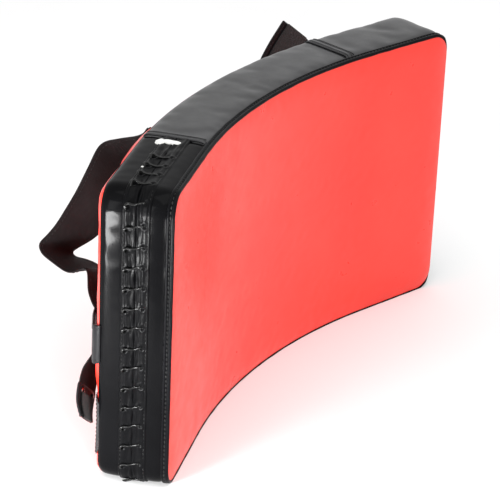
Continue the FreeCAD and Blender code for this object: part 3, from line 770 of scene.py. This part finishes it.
def make_hem(name, side, node):
    """A folded eyelet strip along the slit, crinkled between the holes and rolled in at its lip."""
    inner = SLIT + side * SLIT_HALF_GAP
    travel = np.linspace(0.0005, LACED_RIM - 0.0005, 340)
    along, across = np.meshgrid(travel, np.linspace(-0.0034, HEM_WIDTH, 20), indexing="ij")
    row = (along - LACE_START) / LACE_PITCH
    laced = (row > -0.7) & (row < LACE_ROWS - 0.3)
    between = np.where(laced, np.cos(2.0 * math.pi * row), 0.3)
    side_grid = np.full_like(along, side)
    wave = ripple(np.stack([along * 0.45, across * 2.0, side_grid], axis=-1), 0.0055, 5 + side)
    slow = ripple(np.stack([along, across * 0.3, side_grid], axis=-1), 0.021, 8 + side)
    lip = 1.0 - edge_rise(across, 0.0035)
    shift = lip * (-0.0004 * between + 0.0014 * wave + 0.0006 * slow)
    proud = rim_crown(np.full_like(row, LACED_SEAM / 3.0), inner + side * np.maximum(across, 0.004))
    proud = proud + 0.0014 + 0.0004 * slow + 0.0011 * wave * (lip + 0.3) + 0.0009 * lip * (across > 0)
    stitch_groove = 0.0009 * hump(across - HEM_WIDTH + HEM_STITCH, 0.0007)
    rolled_lip = 0.0040 * np.clip((-across - 0.0008) / 0.0026, 0.0, 1.0) ** 1.3
    turned_edge = 0.0022 * np.clip((across - HEM_WIDTH + 0.0013) / 0.0013, 0.0, 1.0)
    proud = proud - stitch_groove - rolled_lip - turned_edge
    for hole in lace_holes(side):
        distance = np.hypot(along - hole, across - LACE_HALF_SPAN + SLIT_HALF_GAP)
        proud = proud - 0.0015 * hump(distance, 0.0017) + 0.0005 * hump(distance - 0.0034, 0.0012)
    points = rim_point(along, inner + side * (across + shift), proud)
    faces = grid_faces(*along.shape)
    if side > 0:
        faces = [face[::-1] for face in faces]
    hem = new_piece(name, points.reshape(-1, 3), faces, HEM)
    subdivide(hem)
    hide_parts(node)
    edge = inner + side * (HEM_WIDTH - HEM_STITCH)
    line = rim_point(travel, edge, 0.0026)
    facing = rim_point(travel, edge, 0.010) - line
    stitches(name + "_stitches", line, facing, 0.0042, 0.0029, 0.00042)


def make_lace():
    """One cord, over the slit in a slack S at each row and slantwise inside to the next."""
    points = []
    for number, (front, back) in enumerate(zip(lace_holes(-1), lace_holes(1))):
        wander = 0.0011 * math.sin(2.4 * number)
        middle = front * 0.70 + back * 0.30 + wander
        # Travel, distance from the slit, how proud, and the share of the cord's usual radius.
        row = [
            (front, -0.0080, -0.0060, 0.9),
            (front, -0.0082, 0.0010, 0.9),
            (front + 0.0002, -0.0058, 0.0036, 0.9),
            (middle, -0.0014, 0.0030, 0.9),
            (back - 0.0016, 0.0034, 0.0040, 0.9),
            (back - 0.0030, 0.0078, 0.0060, 1.1),
            (back - 0.0006, 0.0106, 0.0062, 1.2),
            (back + 0.0024, 0.0096, 0.0044, 1.1),
            (back + 0.0014, 0.0078, -0.0060, 1.0),
        ]
        for travel, across, proud, share in row:
            points.append((*rim_point(travel, SLIT + across, proud), share))
    curve = bpy.data.curves.new("lace", "CURVE")
    curve.dimensions = "3D"
    curve.bevel_depth = LACE_RADIUS
    curve.bevel_resolution = 3
    curve.resolution_u = 6
    spline = curve.splines.new("NURBS")
    spline.points.add(len(points) - 1)
    for control, (x, y, z, share) in zip(spline.points, points):
        control.co = (x, y, z, 1.0)
        control.radius = share
    spline.order_u = 3
    spline.use_endpoint_u = True
    material, slot = CORD
    curve.materials.append(material)
    lace = bpy.data.objects.new("lace_cord", curve)
    bpy.context.scene.collection.objects.link(lace)
    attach(lace, "pad")
    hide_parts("lace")


def lump(name, middle, axes, half_lengths, seed):
    """A small torn lump of white stuffing about a middle, with half-lengths along three axes."""
    rings = 14
    sides = 16
    polar = (math.pi * np.arange(rings + 1) / rings)[:, None]
    angle = 2.0 * math.pi * np.arange(sides) / sides
    shares = (np.cos(polar) + 0.0 * angle, np.sin(polar) * np.cos(angle), np.sin(polar) * np.sin(angle))
    offsets = sum(share[..., None] * half * axis for share, half, axis in zip(shares, half_lengths, axes))
    vertices = (middle + offsets).reshape(-1, 3)
    rough = ripple(vertices, 0.006, seed) * 0.0016 + ripple(vertices, 0.0022, seed + 1) * 0.0006
    vertices = vertices + unit(vertices - middle) * rough[:, None]
    faces = grid_faces(rings + 1, sides, closed_columns=True)
    subdivide(new_piece(name, vertices, faces, WHITE_FOAM))


def make_foam_peeks():
    """White stuffing that shows through the slit where the lacing stops."""
    along, outward = pad_directions(0.122)
    axes = (outward, along, np.array([0.0, 0.0, 1.0]))
    # Station, depth and rise above the rim of each lump, its half-lengths along the axes, and its seed.
    peeks = {
        "large": ((0.1180, 0.0375, 0.0020), (0.0115, 0.0046, 0.0034), 11),
        "end": ((0.1165, 0.0465, 0.0018), (0.0050, 0.0064, 0.0036), 13),
        "small": ((0.0550, 0.0445, 0.0026), (0.0022, 0.0016, 0.0016), 17),
    }
    for name, ((station, depth, proud), half_lengths, seed) in peeks.items():
        middle = pad_point(station, depth, HEIGHT + proud)
        lump("foam_peek_" + name, middle, axes, half_lengths, seed)


FOLD_HEIGHT = 0.0030
FOLD_SUNK = 0.0010


def make_seam_fold(name, start, end, lines, bottom):
    """A raised, topstitched fold across the rim from one station to another, with a groove per line."""
    station = np.linspace(start, end, 40)
    depth = np.linspace(WELT_DEPTH + 0.0006, DEPTH - 0.0002, 46)
    station_grid, depth_grid = np.meshgrid(station, depth, indexing="ij")
    edge = np.minimum(station_grid - start, end - station_grid)
    side = np.minimum(depth_grid - depth[0], depth[-1] - depth_grid)
    proud = FOLD_HEIGHT * edge_rise(edge, 0.0006) - FOLD_SUNK
    proud = proud - 0.0016 * (1.0 - edge_rise(side, 0.0012))
    proud = proud + 0.0003 * ripple(np.stack([station_grid, depth_grid, proud], axis=-1), 0.012, 4)
    for line in lines:
        proud = proud - 0.0022 * hump(station_grid - line, 0.0006)
    crown = RIM_CROWN * seam_crown(depth) * 0.85
    rim_height, way = (0.0, -1.0) if bottom else (HEIGHT, 1.0)
    points = pad_point(station_grid, depth_grid, rim_height + way * (proud + crown))
    faces = grid_faces(*station_grid.shape)
    if bottom:
        faces = [face[::-1] for face in faces]
    subdivide(new_piece(name, points.reshape(-1, 3), faces, GUSSET))
    for side_name, at in (("near", start - 0.0004), ("far", end + 0.0004)):
        edge_line = pad_point(at, depth[1:-1], rim_height + way * (0.0009 + crown[1:-1]))
        make_roll("%s_%s_edge" % (name, side_name), edge_line, 0.00055)
    up = np.array([0.0, 0.0, way])
    for number, line in enumerate(lines):
        column = int(np.argmin(np.abs(station - line)))
        row = points[column, 1:-1] + up * 0.0002
        stitches("%s_stitches_%d" % (name, number), row, np.tile(up, (len(row), 1)), 0.0044, 0.0031, 0.00045)


def make_roll(name, line, radius):
    """A thin rolled edge of leather along a line of points."""
    heading = unit(np.gradient(line, axis=0))
    up = unit(np.cross(np.cross(heading, [0.0, 0.0, 1.0]), heading))
    side = np.cross(heading, up)
    sides = 8
    angles = (2.0 * math.pi * np.arange(sides) / sides)[:, None, None]
    ring = np.cos(angles) * up + np.sin(angles) * side
    points = (line + radius * ring).transpose(1, 0, 2)
    new_piece(name, points.reshape(-1, 3), tube_faces(len(line), sides), WELT)


def make_seam_folds():
    """The folds where the rim's lengths meet, on the top and the bottom edge."""
    for side, bottom in (("top", False), ("bottom", True)):
        make_seam_fold("laced_seam_" + side, LACED_SEAM - 0.0012, LACED_SEAM + 0.0066,
                       [LACED_SEAM + 0.0034], bottom)
        make_seam_fold("far_seam_" + side, FAR_SEAM - 0.0055, FAR_SEAM + 0.0055,
                       [FAR_SEAM - 0.0026, FAR_SEAM + 0.0026], bottom)


# ---------- ribbons
STRAP_SLANT = math.radians(38.0)
WEBBING_WIDTH = 0.050
WEBBING = 0.0024
KEEPER_THICKNESS = 0.0022
KEEPER_WIDTH = 0.038
LEATHER = 0.0036
LEATHER_WIDTH = 0.054
HOOK_WIDTH = 0.040
HOOK_THICKNESS = 0.0018
RIVET_INSET = 0.007
RIVET_SPREAD = 0.015
# Where each strap passes its keeper, as station and height, and its way: 1 with its tab upwards.
NEAR_PLACE = (0.068, 0.134, -1.0)
FAR_PLACE = (0.400, 0.155, 1.0)


def strap_frame(station, height, way):
    """Origin and the run, across and outward directions of an arm strap where its keeper is."""
    along, outward = pad_directions(station)
    run = way * (along * math.sin(STRAP_SLANT) + np.array([0.0, 0.0, math.cos(STRAP_SLANT)]))
    return pad_point(station, DEPTH, height), run, np.cross(outward, run), outward


def level_frame(station, height):
    """The same for a band or patch that lies along the pad."""
    along, outward = pad_directions(station)
    return pad_point(station, DEPTH, height), along, np.cross(outward, along), outward


def flowing(controls, step):
    """A smooth run of values through a list of controls, by Catmull-Rom, about a step apart."""
    extended = np.vstack([2 * controls[0] - controls[1], controls, 2 * controls[-1] - controls[-2]])
    rows = []
    for before, start, end, after in zip(extended, extended[1:], extended[2:], extended[3:]):
        count = max(2, int(np.linalg.norm(end[:3] - start[:3]) / step))
        for share in np.arange(count) / count:
            rows.append(0.5 * (2 * start + (end - before) * share
                               + (2 * before - 5 * start + 4 * end - after) * share ** 2
                               + (3 * start - before - 3 * end + after) * share ** 3))
    return np.array(rows + [controls[-1]])


def level(route, width):
    """Both edges of a band that lies flat across its run, from (along, lift) places."""
    half = width / MM / 2.0
    return [((along, lift, half), (along, lift, -half)) for along, lift in route]


# Places across a band, and the share of its half thickness at each, so that its edges are rounded.
ACROSS_SHARES = np.array([-0.5, -0.47, -0.40, -0.28, -0.14, 0.0, 0.14, 0.28, 0.40, 0.47, 0.5])
ROUNDED_EDGE = np.array([0.45, 0.85, 1.0, 1.0, 1.0, 1.0, 1.0, 1.0, 1.0, 0.85, 0.45])
STITCHED_EDGE = np.array([0.45, 0.85, 0.62, 1.0, 1.0, 1.0, 1.0, 1.0, 0.62, 0.85, 0.45])


def band_faces(rings):
    """Quads round a band of flattened rings, and those that close its two ends."""
    points = 2 * len(ACROSS_SHARES)
    faces = grid_faces(rings, points, closed_columns=True)
    for ring in (0, rings - 1):
        base = ring * points
        for number in range(len(ACROSS_SHARES) - 1):
            opposite = points - 1 - number
            quad = (base + number, base + number + 1, base + opposite - 1, base + opposite)
            faces.append(quad if ring else quad[::-1])
    return faces


def make_band(name, place, edges, thickness, look, body="pad", depths=None, hem=None, ruffle=0.0, seed=1):
    """A flat band with rounded edges between two edge lines.

    Each entry of edges is a place on the left edge and one on the right edge, and each place is
    (along, lift, sideways) in millimetres in the band's frame.  Where depths are given, the band
    lies on the settled back panel rather than in it.  hem is the share of the half width at which
    a row of stitches runs.
    """
    origin, run, across, outward = place
    rows = flowing(np.array(edges, float).reshape(len(edges), 6) * MM, 0.004)
    basis = np.array([run, outward, across])
    left = origin + rows[:, :3] @ basis
    right = origin + rows[:, 3:] @ basis
    left_share = (0.5 + ACROSS_SHARES)[:, None]
    middle = left[:, None] * left_share + right[:, None] * (1.0 - left_share)
    if depths is not None:
        station, depth, height = unbend(middle)
        need = back_surface(depths, station, height) + thickness / 2.0 + 0.0004
        push = np.maximum(need - depth, 0.0) * (inset_of(station, height) > 0.0)
        middle = middle + pad_directions(station)[1] * push[..., None]
    face_way = unit(np.cross(unit(np.gradient(middle, axis=0)), unit(np.gradient(middle, axis=1))))
    if ruffle:
        middle = middle + face_way * (ripple(middle, 0.030, seed) * ruffle)[..., None]
    half = thickness / 2.0 * (STITCHED_EDGE if hem else ROUNDED_EDGE)[:, None]
    rings = np.concatenate([middle + face_way * half, (middle - face_way * half)[:, ::-1]], axis=1)
    piece = new_piece(name, rings.reshape(-1, 3), band_faces(len(rings)), look, body=None)
    centre = middle[:, len(ACROSS_SHARES) // 2]
    length = np.concatenate([[0.0], np.cumsum(np.linalg.norm(np.diff(centre, axis=0), axis=1))])
    width = np.linalg.norm(left - right, axis=1).mean()
    uv = np.meshgrid(length, np.concatenate([ACROSS_SHARES, ACROSS_SHARES[::-1]]) * width, indexing="ij")
    set_uv(piece, np.stack(uv, axis=-1).reshape(-1, 2))
    subdivide(piece)
    if body:
        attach(piece, body)
    if hem:
        add_hem_stitches(name, middle, face_way, hem, thickness, body)
    return piece


def add_hem_stitches(name, middle, face_way, hem, thickness, body):
    """Rows of stitches near both edges of a band, on both of its faces."""
    for side, share in (("left", hem), ("right", -hem)):
        at = np.interp(share * 0.5, ACROSS_SHARES, np.arange(len(ACROSS_SHARES)))
        low = int(at)
        part = at - low
        line = middle[:, low] * (1.0 - part) + middle[:, low + 1] * part
        for face, way in (("upper", 1.0), ("lower", -1.0)):
            normal = face_way[:, low] * way
            stitches("%s_%s_%s_stitches" % (name, side, face), line + normal * thickness * 0.38, normal,
                     0.0040, 0.0028, 0.00035, body)


# Both edges of each band, in millimetres, as make_band takes them.
NEAR_STRAP = [
    ((-186, 3, 25), (-186, 3, -25)), ((-181, 5, 25), (-179, 4, -25)), ((-176, 13, 25), (-174, 6, -24)),
    ((-171, 30, 26), (-167, 9, -22)), ((-163, 46, 27), (-156, 14, -17)), ((-140, 54, 26), (-132, 21, -13)),
    ((-113, 62, 25), (-106, 29, -13)), ((-85, 72, 25), (-84, 43, -16)), ((-68, 81, 25), (-72, 57, -19)),
    ((-59, 87, 25), (-65, 66, -22)), ((-50, 83, 25), (-61, 62, -24)), ((-42, 69, 25), (-60, 52, -25)),
    ((-35, 52, 25), (-57, 40, -25)), ((-41, 37, 26), (-50, 29, -25)), ((-32, 33, 26), (-38, 21, -25)),
    ((-20, 30, 26), (-26, 15, -25)), ((-9, 24, 25), (-9, 11, -25)), ((1, 16, 25), (1, 9, -25)),
    ((18, 12.5, 25), (18, 8.5, -25)), ((46, 9, 25), (46, 8.5, -25)),
]
FAR_STRAP = level([
    (-168, 1), (-162, 1), (-155, 5), (-146, 20), (-125, 41), (-98, 48), (-72, 45), (-50, 27), (-36, 14),
    (-15, 9.5), (15, 8.5), (46, 8.5),
], WEBBING_WIDTH)
NEAR_BEND = [
    ((28, 13.5, 25), (28, 13, -25)), ((37, 13.5, 25), (37, 13, -25)), ((44, 16.5, 25), (44, 15, -25)),
    ((52, 20, 25), (52, 17.5, -25)), ((60, 21, 25), (60, 18, -25)), ((69, 21, 25), (69, 17.8, -25)),
]
NEAR_TIP = [
    ((66, 21, 27), (66, 18.2, -27)), ((75, 20.8, 27), (75, 18, -27)), ((84, 19.4, 27), (84, 17.8, -27)),
    ((91, 16.6, 27), (91, 17.2, -27)), ((99, 12.4, 27), (97, 15.8, -27)),
]
FAR_BEND = level([(32, 10.8), (41, 11), (47, 17), (52, 26), (70, 68), (77, 82), (84, 87.4), (96, 88)],
                 WEBBING_WIDTH)
FAR_TIP = level([(92, 88), (105, 88.5), (120, 88), (134, 86.5), (147, 85)], LEATHER_WIDTH)
NEAR_KEEPER = [
    ((-68.4, -1.5, 9), (-68.4, -1.5, -30)), ((-68, 2.5, 11), (-67.5, 3, -29)),
    ((-65, 5.8, 13), (-64, 6.8, -27)),
    ((-59, 8.6, 15), (-58, 9.3, -24)), ((-50, 11, 17), (-50, 11.8, -22)), ((-36, 15, 18), (-36, 15.6, -20)),
    ((-24, 18.4, 18), (-24, 18.8, -20)), ((-8, 21, 19), (-8, 21, -19)), ((10, 21.5, 19), (10, 21.5, -19)),
    ((35, 22, 19), (35, 22, -19)), ((48, 20, 19), (48, 20, -19)), ((55, 12, 19), (55, 12, -19)),
    ((62, 3, 19), (62, 3, -19)), ((74, 1, 19), (74, 1, -19)),
]
FAR_KEEPER = level([
    (-74, 1), (-62, 3), (-55, 12), (-48, 21), (-35, 22), (-10, 19), (20, 16.5), (46, 12), (55, 6), (62, 1.2),
    (70, 1),
], KEEPER_WIDTH)


def make_arm_strap(side, place, keeper_place, strap, keeper, bend, tip, depths, seed):
    """One strap: its fixed loop, the band that keeps it, and the free tab."""
    tab = side + "_tab"
    strap_piece = make_band(side + "_arm_strap", place, strap, WEBBING, STRAP, depths=depths,
                            hem=0.84, ruffle=0.0010, seed=seed)
    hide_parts(side + "_strap")
    keeper_piece = make_band(side + "_keeper_band", keeper_place, keeper, KEEPER_THICKNESS, BAND,
                             depths=depths, hem=0.82, ruffle=0.0006, seed=seed + 1)
    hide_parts(side + "_keeper")
    bend_piece = make_band(tab + "_bend", place, bend, WEBBING, STRAP, body=None)
    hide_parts(tab + "_webbing")
    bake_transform(bend_piece)
    tip_piece = make_band(tab + "_leather", place, tip, LEATHER, BAND, body=tab, hem=0.86)
    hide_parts(tab + "_tip")
    make_rivets(side, place, tip)
    make_hook(side, place, tip)


# ---------- patches
def flat_points(place, along, side):
    """Points in the plane of a frame, at places along and across it."""
    origin, run, across, _ = place
    return origin + along[..., None] * run + side[..., None] * across


def stitch_outline(name, place, corners, half_length, half_width, steps, proud, depths):
    """Stitches along straight lines between corners, on the settled back and proud of it."""
    corners = np.array(corners, float) * (half_length, half_width)
    shares = np.linspace(0.0, 1.0, steps)[:, None]
    outline = np.vstack([first + (second - first) * shares for first, second in zip(corners, corners[1:])])
    station, _, height = unbend(flat_points(place, *outline.T))
    line = pad_point(station, back_surface(depths, station, height) + proud, height)
    stitches(name, line, pad_directions(station)[1], 0.0042, 0.0030, 0.00042)


BOX = [(-1, -1), (1, -1), (1, 1), (-1, 1), (-1, -1)]
CROSSED_BOX = BOX + [(1, 1), (1, -1), (-1, 1)]
PATCH_HEIGHT = 0.0016


def make_patch(name, place, length, width, look, node, border, depths):
    """A flat patch sewn on the settled back, with rounded corners and its edge drawn down.

    place gives the patch's own middle, run, across and outward directions.
    """
    shares = np.concatenate([[-0.5, -0.485, -0.46], np.linspace(-0.43, 0.43, 19), [0.46, 0.485, 0.5]])
    along, side = np.meshgrid(shares, shares, indexing="ij")
    squeeze = 1.0 - 0.035 * np.abs(4.0 * along * side) ** 14
    along = along * length * squeeze
    side = side * width * squeeze
    flat = flat_points(place, along, side)
    station, _, height = unbend(flat)
    edge = np.minimum(length / 2.0 - np.abs(along), width / 2.0 - np.abs(side))
    lift = PATCH_HEIGHT * edge_rise(edge, 0.0006) + 0.0002
    lift = lift - 0.0005 * hump(edge - border, 0.0007) - 0.0012 * (edge < 0.0001)
    lift = lift + 0.00025 * ripple(flat, 0.012, 41)
    points = pad_point(station, back_surface(depths, station, height) + lift, height)
    faces = [face[::-1] for face in grid_faces(*along.shape)]
    patch = new_piece(name, points.reshape(-1, 3), faces, look)
    set_uv(patch, np.stack([along, side], axis=-1).reshape(-1, 2))
    subdivide(patch)
    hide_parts(node)
    stitch_outline(name + "_stitches", place, BOX, length / 2.0 - border, width / 2.0 - border, 12,
                   PATCH_HEIGHT, depths)


def make_anchor(side, place, along, depths):
    """The leather patch under a strap's fixed end, and the crossed box of stitches that holds the end."""
    origin, run, across, outward = place
    middle = (origin + run * along, run, across, outward)
    make_patch(side + "_anchor_leather", middle, 0.030, 0.054, BLACK, side + "_anchor_patch", 0.0030, depths)
    stitch_outline(side + "_anchor_box_stitches", middle, CROSSED_BOX, 0.0075, 0.018, 10,
                   0.0052, depths)


def make_loop_patch(side, station, low, length, height, depths):
    """The fuzzy patch that the tab's hooks close on, from its first station and lowest edge."""
    place = level_frame(station + length / 2.0, low + height / 2.0)
    make_patch(side + "_loop_pile", place, length, height, LOOP, side + "_loop_patch", 0.0022, depths)


# ---------- rivets and hook patches
RIVET_PROFILE = [(0.0, 1.25), (1.2, 1.2), (2.4, 0.95), (3.3, 0.5), (3.7, 0.1), (3.9, -0.3)]
RIVET_SIDES = 20


def make_rivets(side, place, tip):
    """Two domed rivets on each face of the tab's leather tip."""
    origin, run, across, outward = place
    edges = np.array(tip, float) * MM @ np.array([run, outward, across])
    middles = edges.mean(axis=1)
    along = unit(middles[1] - middles[0])
    sideways = unit(edges[0, 0] - edges[0, 1])
    normal = unit(np.cross(along, sideways))
    centre = origin + middles[0] + along * RIVET_INSET
    vertices = []
    faces = []
    for spread in (-RIVET_SPREAD, RIVET_SPREAD):
        for way in (1.0, -1.0):
            faces += [tuple(len(vertices) + corner for corner in face[::-1])
                      for face in grid_faces(len(RIVET_PROFILE), RIVET_SIDES, closed_columns=True)]
            for radius, proud in RIVET_PROFILE:
                head = centre + sideways * spread + normal * way * (LEATHER / 2.0 + proud * MM)
                for number in range(RIVET_SIDES):
                    angle = 2.0 * math.pi * number / RIVET_SIDES
                    spoke = along * math.cos(angle) + sideways * math.sin(angle) * way
                    vertices.append(head + spoke * radius * MM)
    rivets = new_piece(side + "_rivet_heads", vertices, faces, RIVET, side + "_tab")
    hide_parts(side + "_tab_rivets")


def make_hook(side, place, tip):
    """The hook patch on the inner face of the tip, narrower than the tip and past its rivets."""
    edges = np.array(tip, float)
    edges[0] = edges[0] * 0.1 + edges[1] * 0.9
    middle = edges.mean(axis=1, keepdims=True)
    edges = middle + (edges - middle) * HOOK_WIDTH / LEATHER_WIDTH
    edges[..., 1] -= (LEATHER + HOOK_THICKNESS) / 2.0 / MM
    edges[0] = edges[0] * 0.6 + edges[1] * 0.4
    hook = make_band(side + "_hook_pile", place, edges, HOOK_THICKNESS, HOOK, body=side + "_tab")
    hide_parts(side + "_hook_patch")


# ---------- stuffing
# Each foam sheet, with its front and back depth and how far it stays in from the rim.
FOAM_SHEETS = {
    "strike_foam": (0.0020, 0.0140, 0.004),
    "core_foam_1": (0.0140, 0.0270, 0.009),
    "core_foam_2": (0.0270, 0.0400, 0.009),
    "core_foam_3": (0.0400, 0.0530, 0.009),
    "back_foam": (0.0530, 0.0660, 0.004),
}
SHEET_GAP = 0.0003


def make_stuffing():
    """The stack of foam sheets inside the cover."""
    station, height = (grid[::2, ::2] for grid in face_plan())
    rows, columns = station.shape
    count = rows * columns
    loop = [row * columns for row in range(rows - 1)]
    loop += [(rows - 1) * columns + column for column in range(columns - 1)]
    loop += [row * columns + columns - 1 for row in range(rows - 1, 0, -1)]
    loop += list(range(columns - 1, 0, -1))
    faces = grid_faces(rows, columns)
    faces += [tuple(count + corner for corner in face[::-1]) for face in faces]
    faces += [(two, one, count + one, count + two) for one, two in zip(loop, loop[1:] + loop[:1])]
    for name, (front, back, inset) in FOAM_SHEETS.items():
        inner_station = LENGTH / 2.0 + (station - LENGTH / 2.0) * (1.0 - 2.0 * inset / LENGTH)
        inner_height = HEIGHT / 2.0 + (height - HEIGHT / 2.0) * (1.0 - 2.0 * inset / HEIGHT)
        lower = pad_point(inner_station, front + SHEET_GAP, inner_height).reshape(-1, 3)
        upper = pad_point(inner_station, back - SHEET_GAP, inner_height).reshape(-1, 3)
        look = DARK_FOAM if name == "strike_foam" else WHITE_FOAM
        sheet = new_piece(name + "_sheet", np.vstack([lower, upper]), faces, look)
        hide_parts(name)


def build_pad():
    """The whole pad, from its cover to the tabs of its straps."""
    depths = make_cover()
    make_welt()
    make_hem("hem_front", -1.0, "lace_hem_front")
    make_hem("hem_back", 1.0, "lace_hem_back")
    make_lace()
    make_foam_peeks()
    make_seam_folds()
    make_stuffing()
    near_place = strap_frame(*NEAR_PLACE)
    far_place = strap_frame(*FAR_PLACE)
    make_anchor("near", near_place, -0.172, depths)
    make_anchor("far", far_place, -0.155, depths)
    make_loop_patch("near", 0.0010, 0.024, 0.057, 0.063, depths)
    make_loop_patch("far", 0.420, 0.200, 0.054, 0.063, depths)
    make_arm_strap("near", near_place, level_frame(*NEAR_PLACE[:2]), NEAR_STRAP, NEAR_KEEPER,
                   NEAR_BEND, NEAR_TIP, depths, 21)
    make_arm_strap("far", far_place, level_frame(*FAR_PLACE[:2]), FAR_STRAP, FAR_KEEPER,
                   FAR_BEND, FAR_TIP, depths, 31)


# ---------- camera and studio
CAMERA_PLACE = Vector((-1.8856, -1.1154, 1.1649))
CAMERA_TARGET = Vector((-0.0923, -0.0685, 0.1760))
CAMERA_ROLL = 2.42
CAMERA_LENS = 170.0
CAMERA_SENSOR = 36.0
FLOOR_SIZE = 12.0
WORLD_STRENGTH = 0.97


def aimed(place, target, roll):
    """The matrix of a camera or light at a place that points at a target, rolled by some degrees."""
    aim = (Vector(target) - Vector(place)).to_track_quat("-Z", "Y").to_matrix()
    return Matrix.Translation(place) @ (aim @ Matrix.Rotation(math.radians(roll), 3, "Z")).to_4x4()


def make_camera():
    """The camera, well away from the pad with a long lens."""
    camera_data = bpy.data.cameras.new("camera")
    camera_data.lens = CAMERA_LENS
    camera_data.sensor_width = CAMERA_SENSOR
    camera = bpy.data.objects.new("camera", camera_data)
    bpy.context.scene.collection.objects.link(camera)
    camera.matrix_world = aimed(CAMERA_PLACE, CAMERA_TARGET, CAMERA_ROLL)
    bpy.context.scene.camera = camera


def area_light(name, place, target, width, height, power, roll=0.0):
    """A rectangular light that the camera doesn't see."""
    light_data = bpy.data.lights.new(name, "AREA")
    light_data.shape = "RECTANGLE"
    light_data.size = width
    light_data.size_y = height
    light_data.energy = power
    light = bpy.data.objects.new(name, light_data)
    light.visible_camera = False
    bpy.context.scene.collection.objects.link(light)
    light.matrix_world = aimed(place, target, roll)


def make_floor():
    """A wide sheet of white paper."""
    mesh = bpy.data.meshes.new("floor")
    half = FLOOR_SIZE / 2.0
    mesh.from_pydata([(-half, -half, 0), (half, -half, 0), (half, half, 0), (-half, half, 0)], [],
                     [(0, 1, 2, 3)])
    nodes = Nodes("floor_paper")
    nodes.set(Base_Color=nodes.ramp(nodes.noise(3.0, 2.0), 0.86, 0.89), Roughness=0.9,
              Specular_IOR_Level=0.1)
    mesh.materials.append(nodes.material)
    floor = bpy.data.objects.new("floor", mesh)
    bpy.context.scene.collection.objects.link(floor)


def make_studio():
    """Floor, white surroundings, and soft lights.  Two low cards give the leather its highlights."""
    make_floor()
    world = bpy.data.worlds.new("studio")
    world.use_nodes = True
    background = world.node_tree.nodes["Background"]
    background.inputs["Color"].default_value = (1.0, 1.0, 1.0, 1.0)
    background.inputs["Strength"].default_value = WORLD_STRENGTH
    bpy.context.scene.world = world
    bpy.context.scene.view_settings.view_transform = "Standard"
    area_light("overhead", (-0.3, -0.6, 2.2), (0.0, 0.0, 0.1), 2.2, 1.6, 18.0)
    area_light("left_window", (-2.2, 0.15, 0.7), (-0.2, 0.0, 0.2), 0.5, 1.4, 10.0)
    area_light("low_card", (-0.72, 0.035, 0.092), (-0.3, 0.03, 0.26), 0.17, 0.09, 6.0, 24.0)
    area_light("front_card", (-0.55, -0.37, 0.080), (-0.26, -0.09, 0.26), 0.10, 0.10, 1.5)


build_pad()
make_camera()
make_studio()
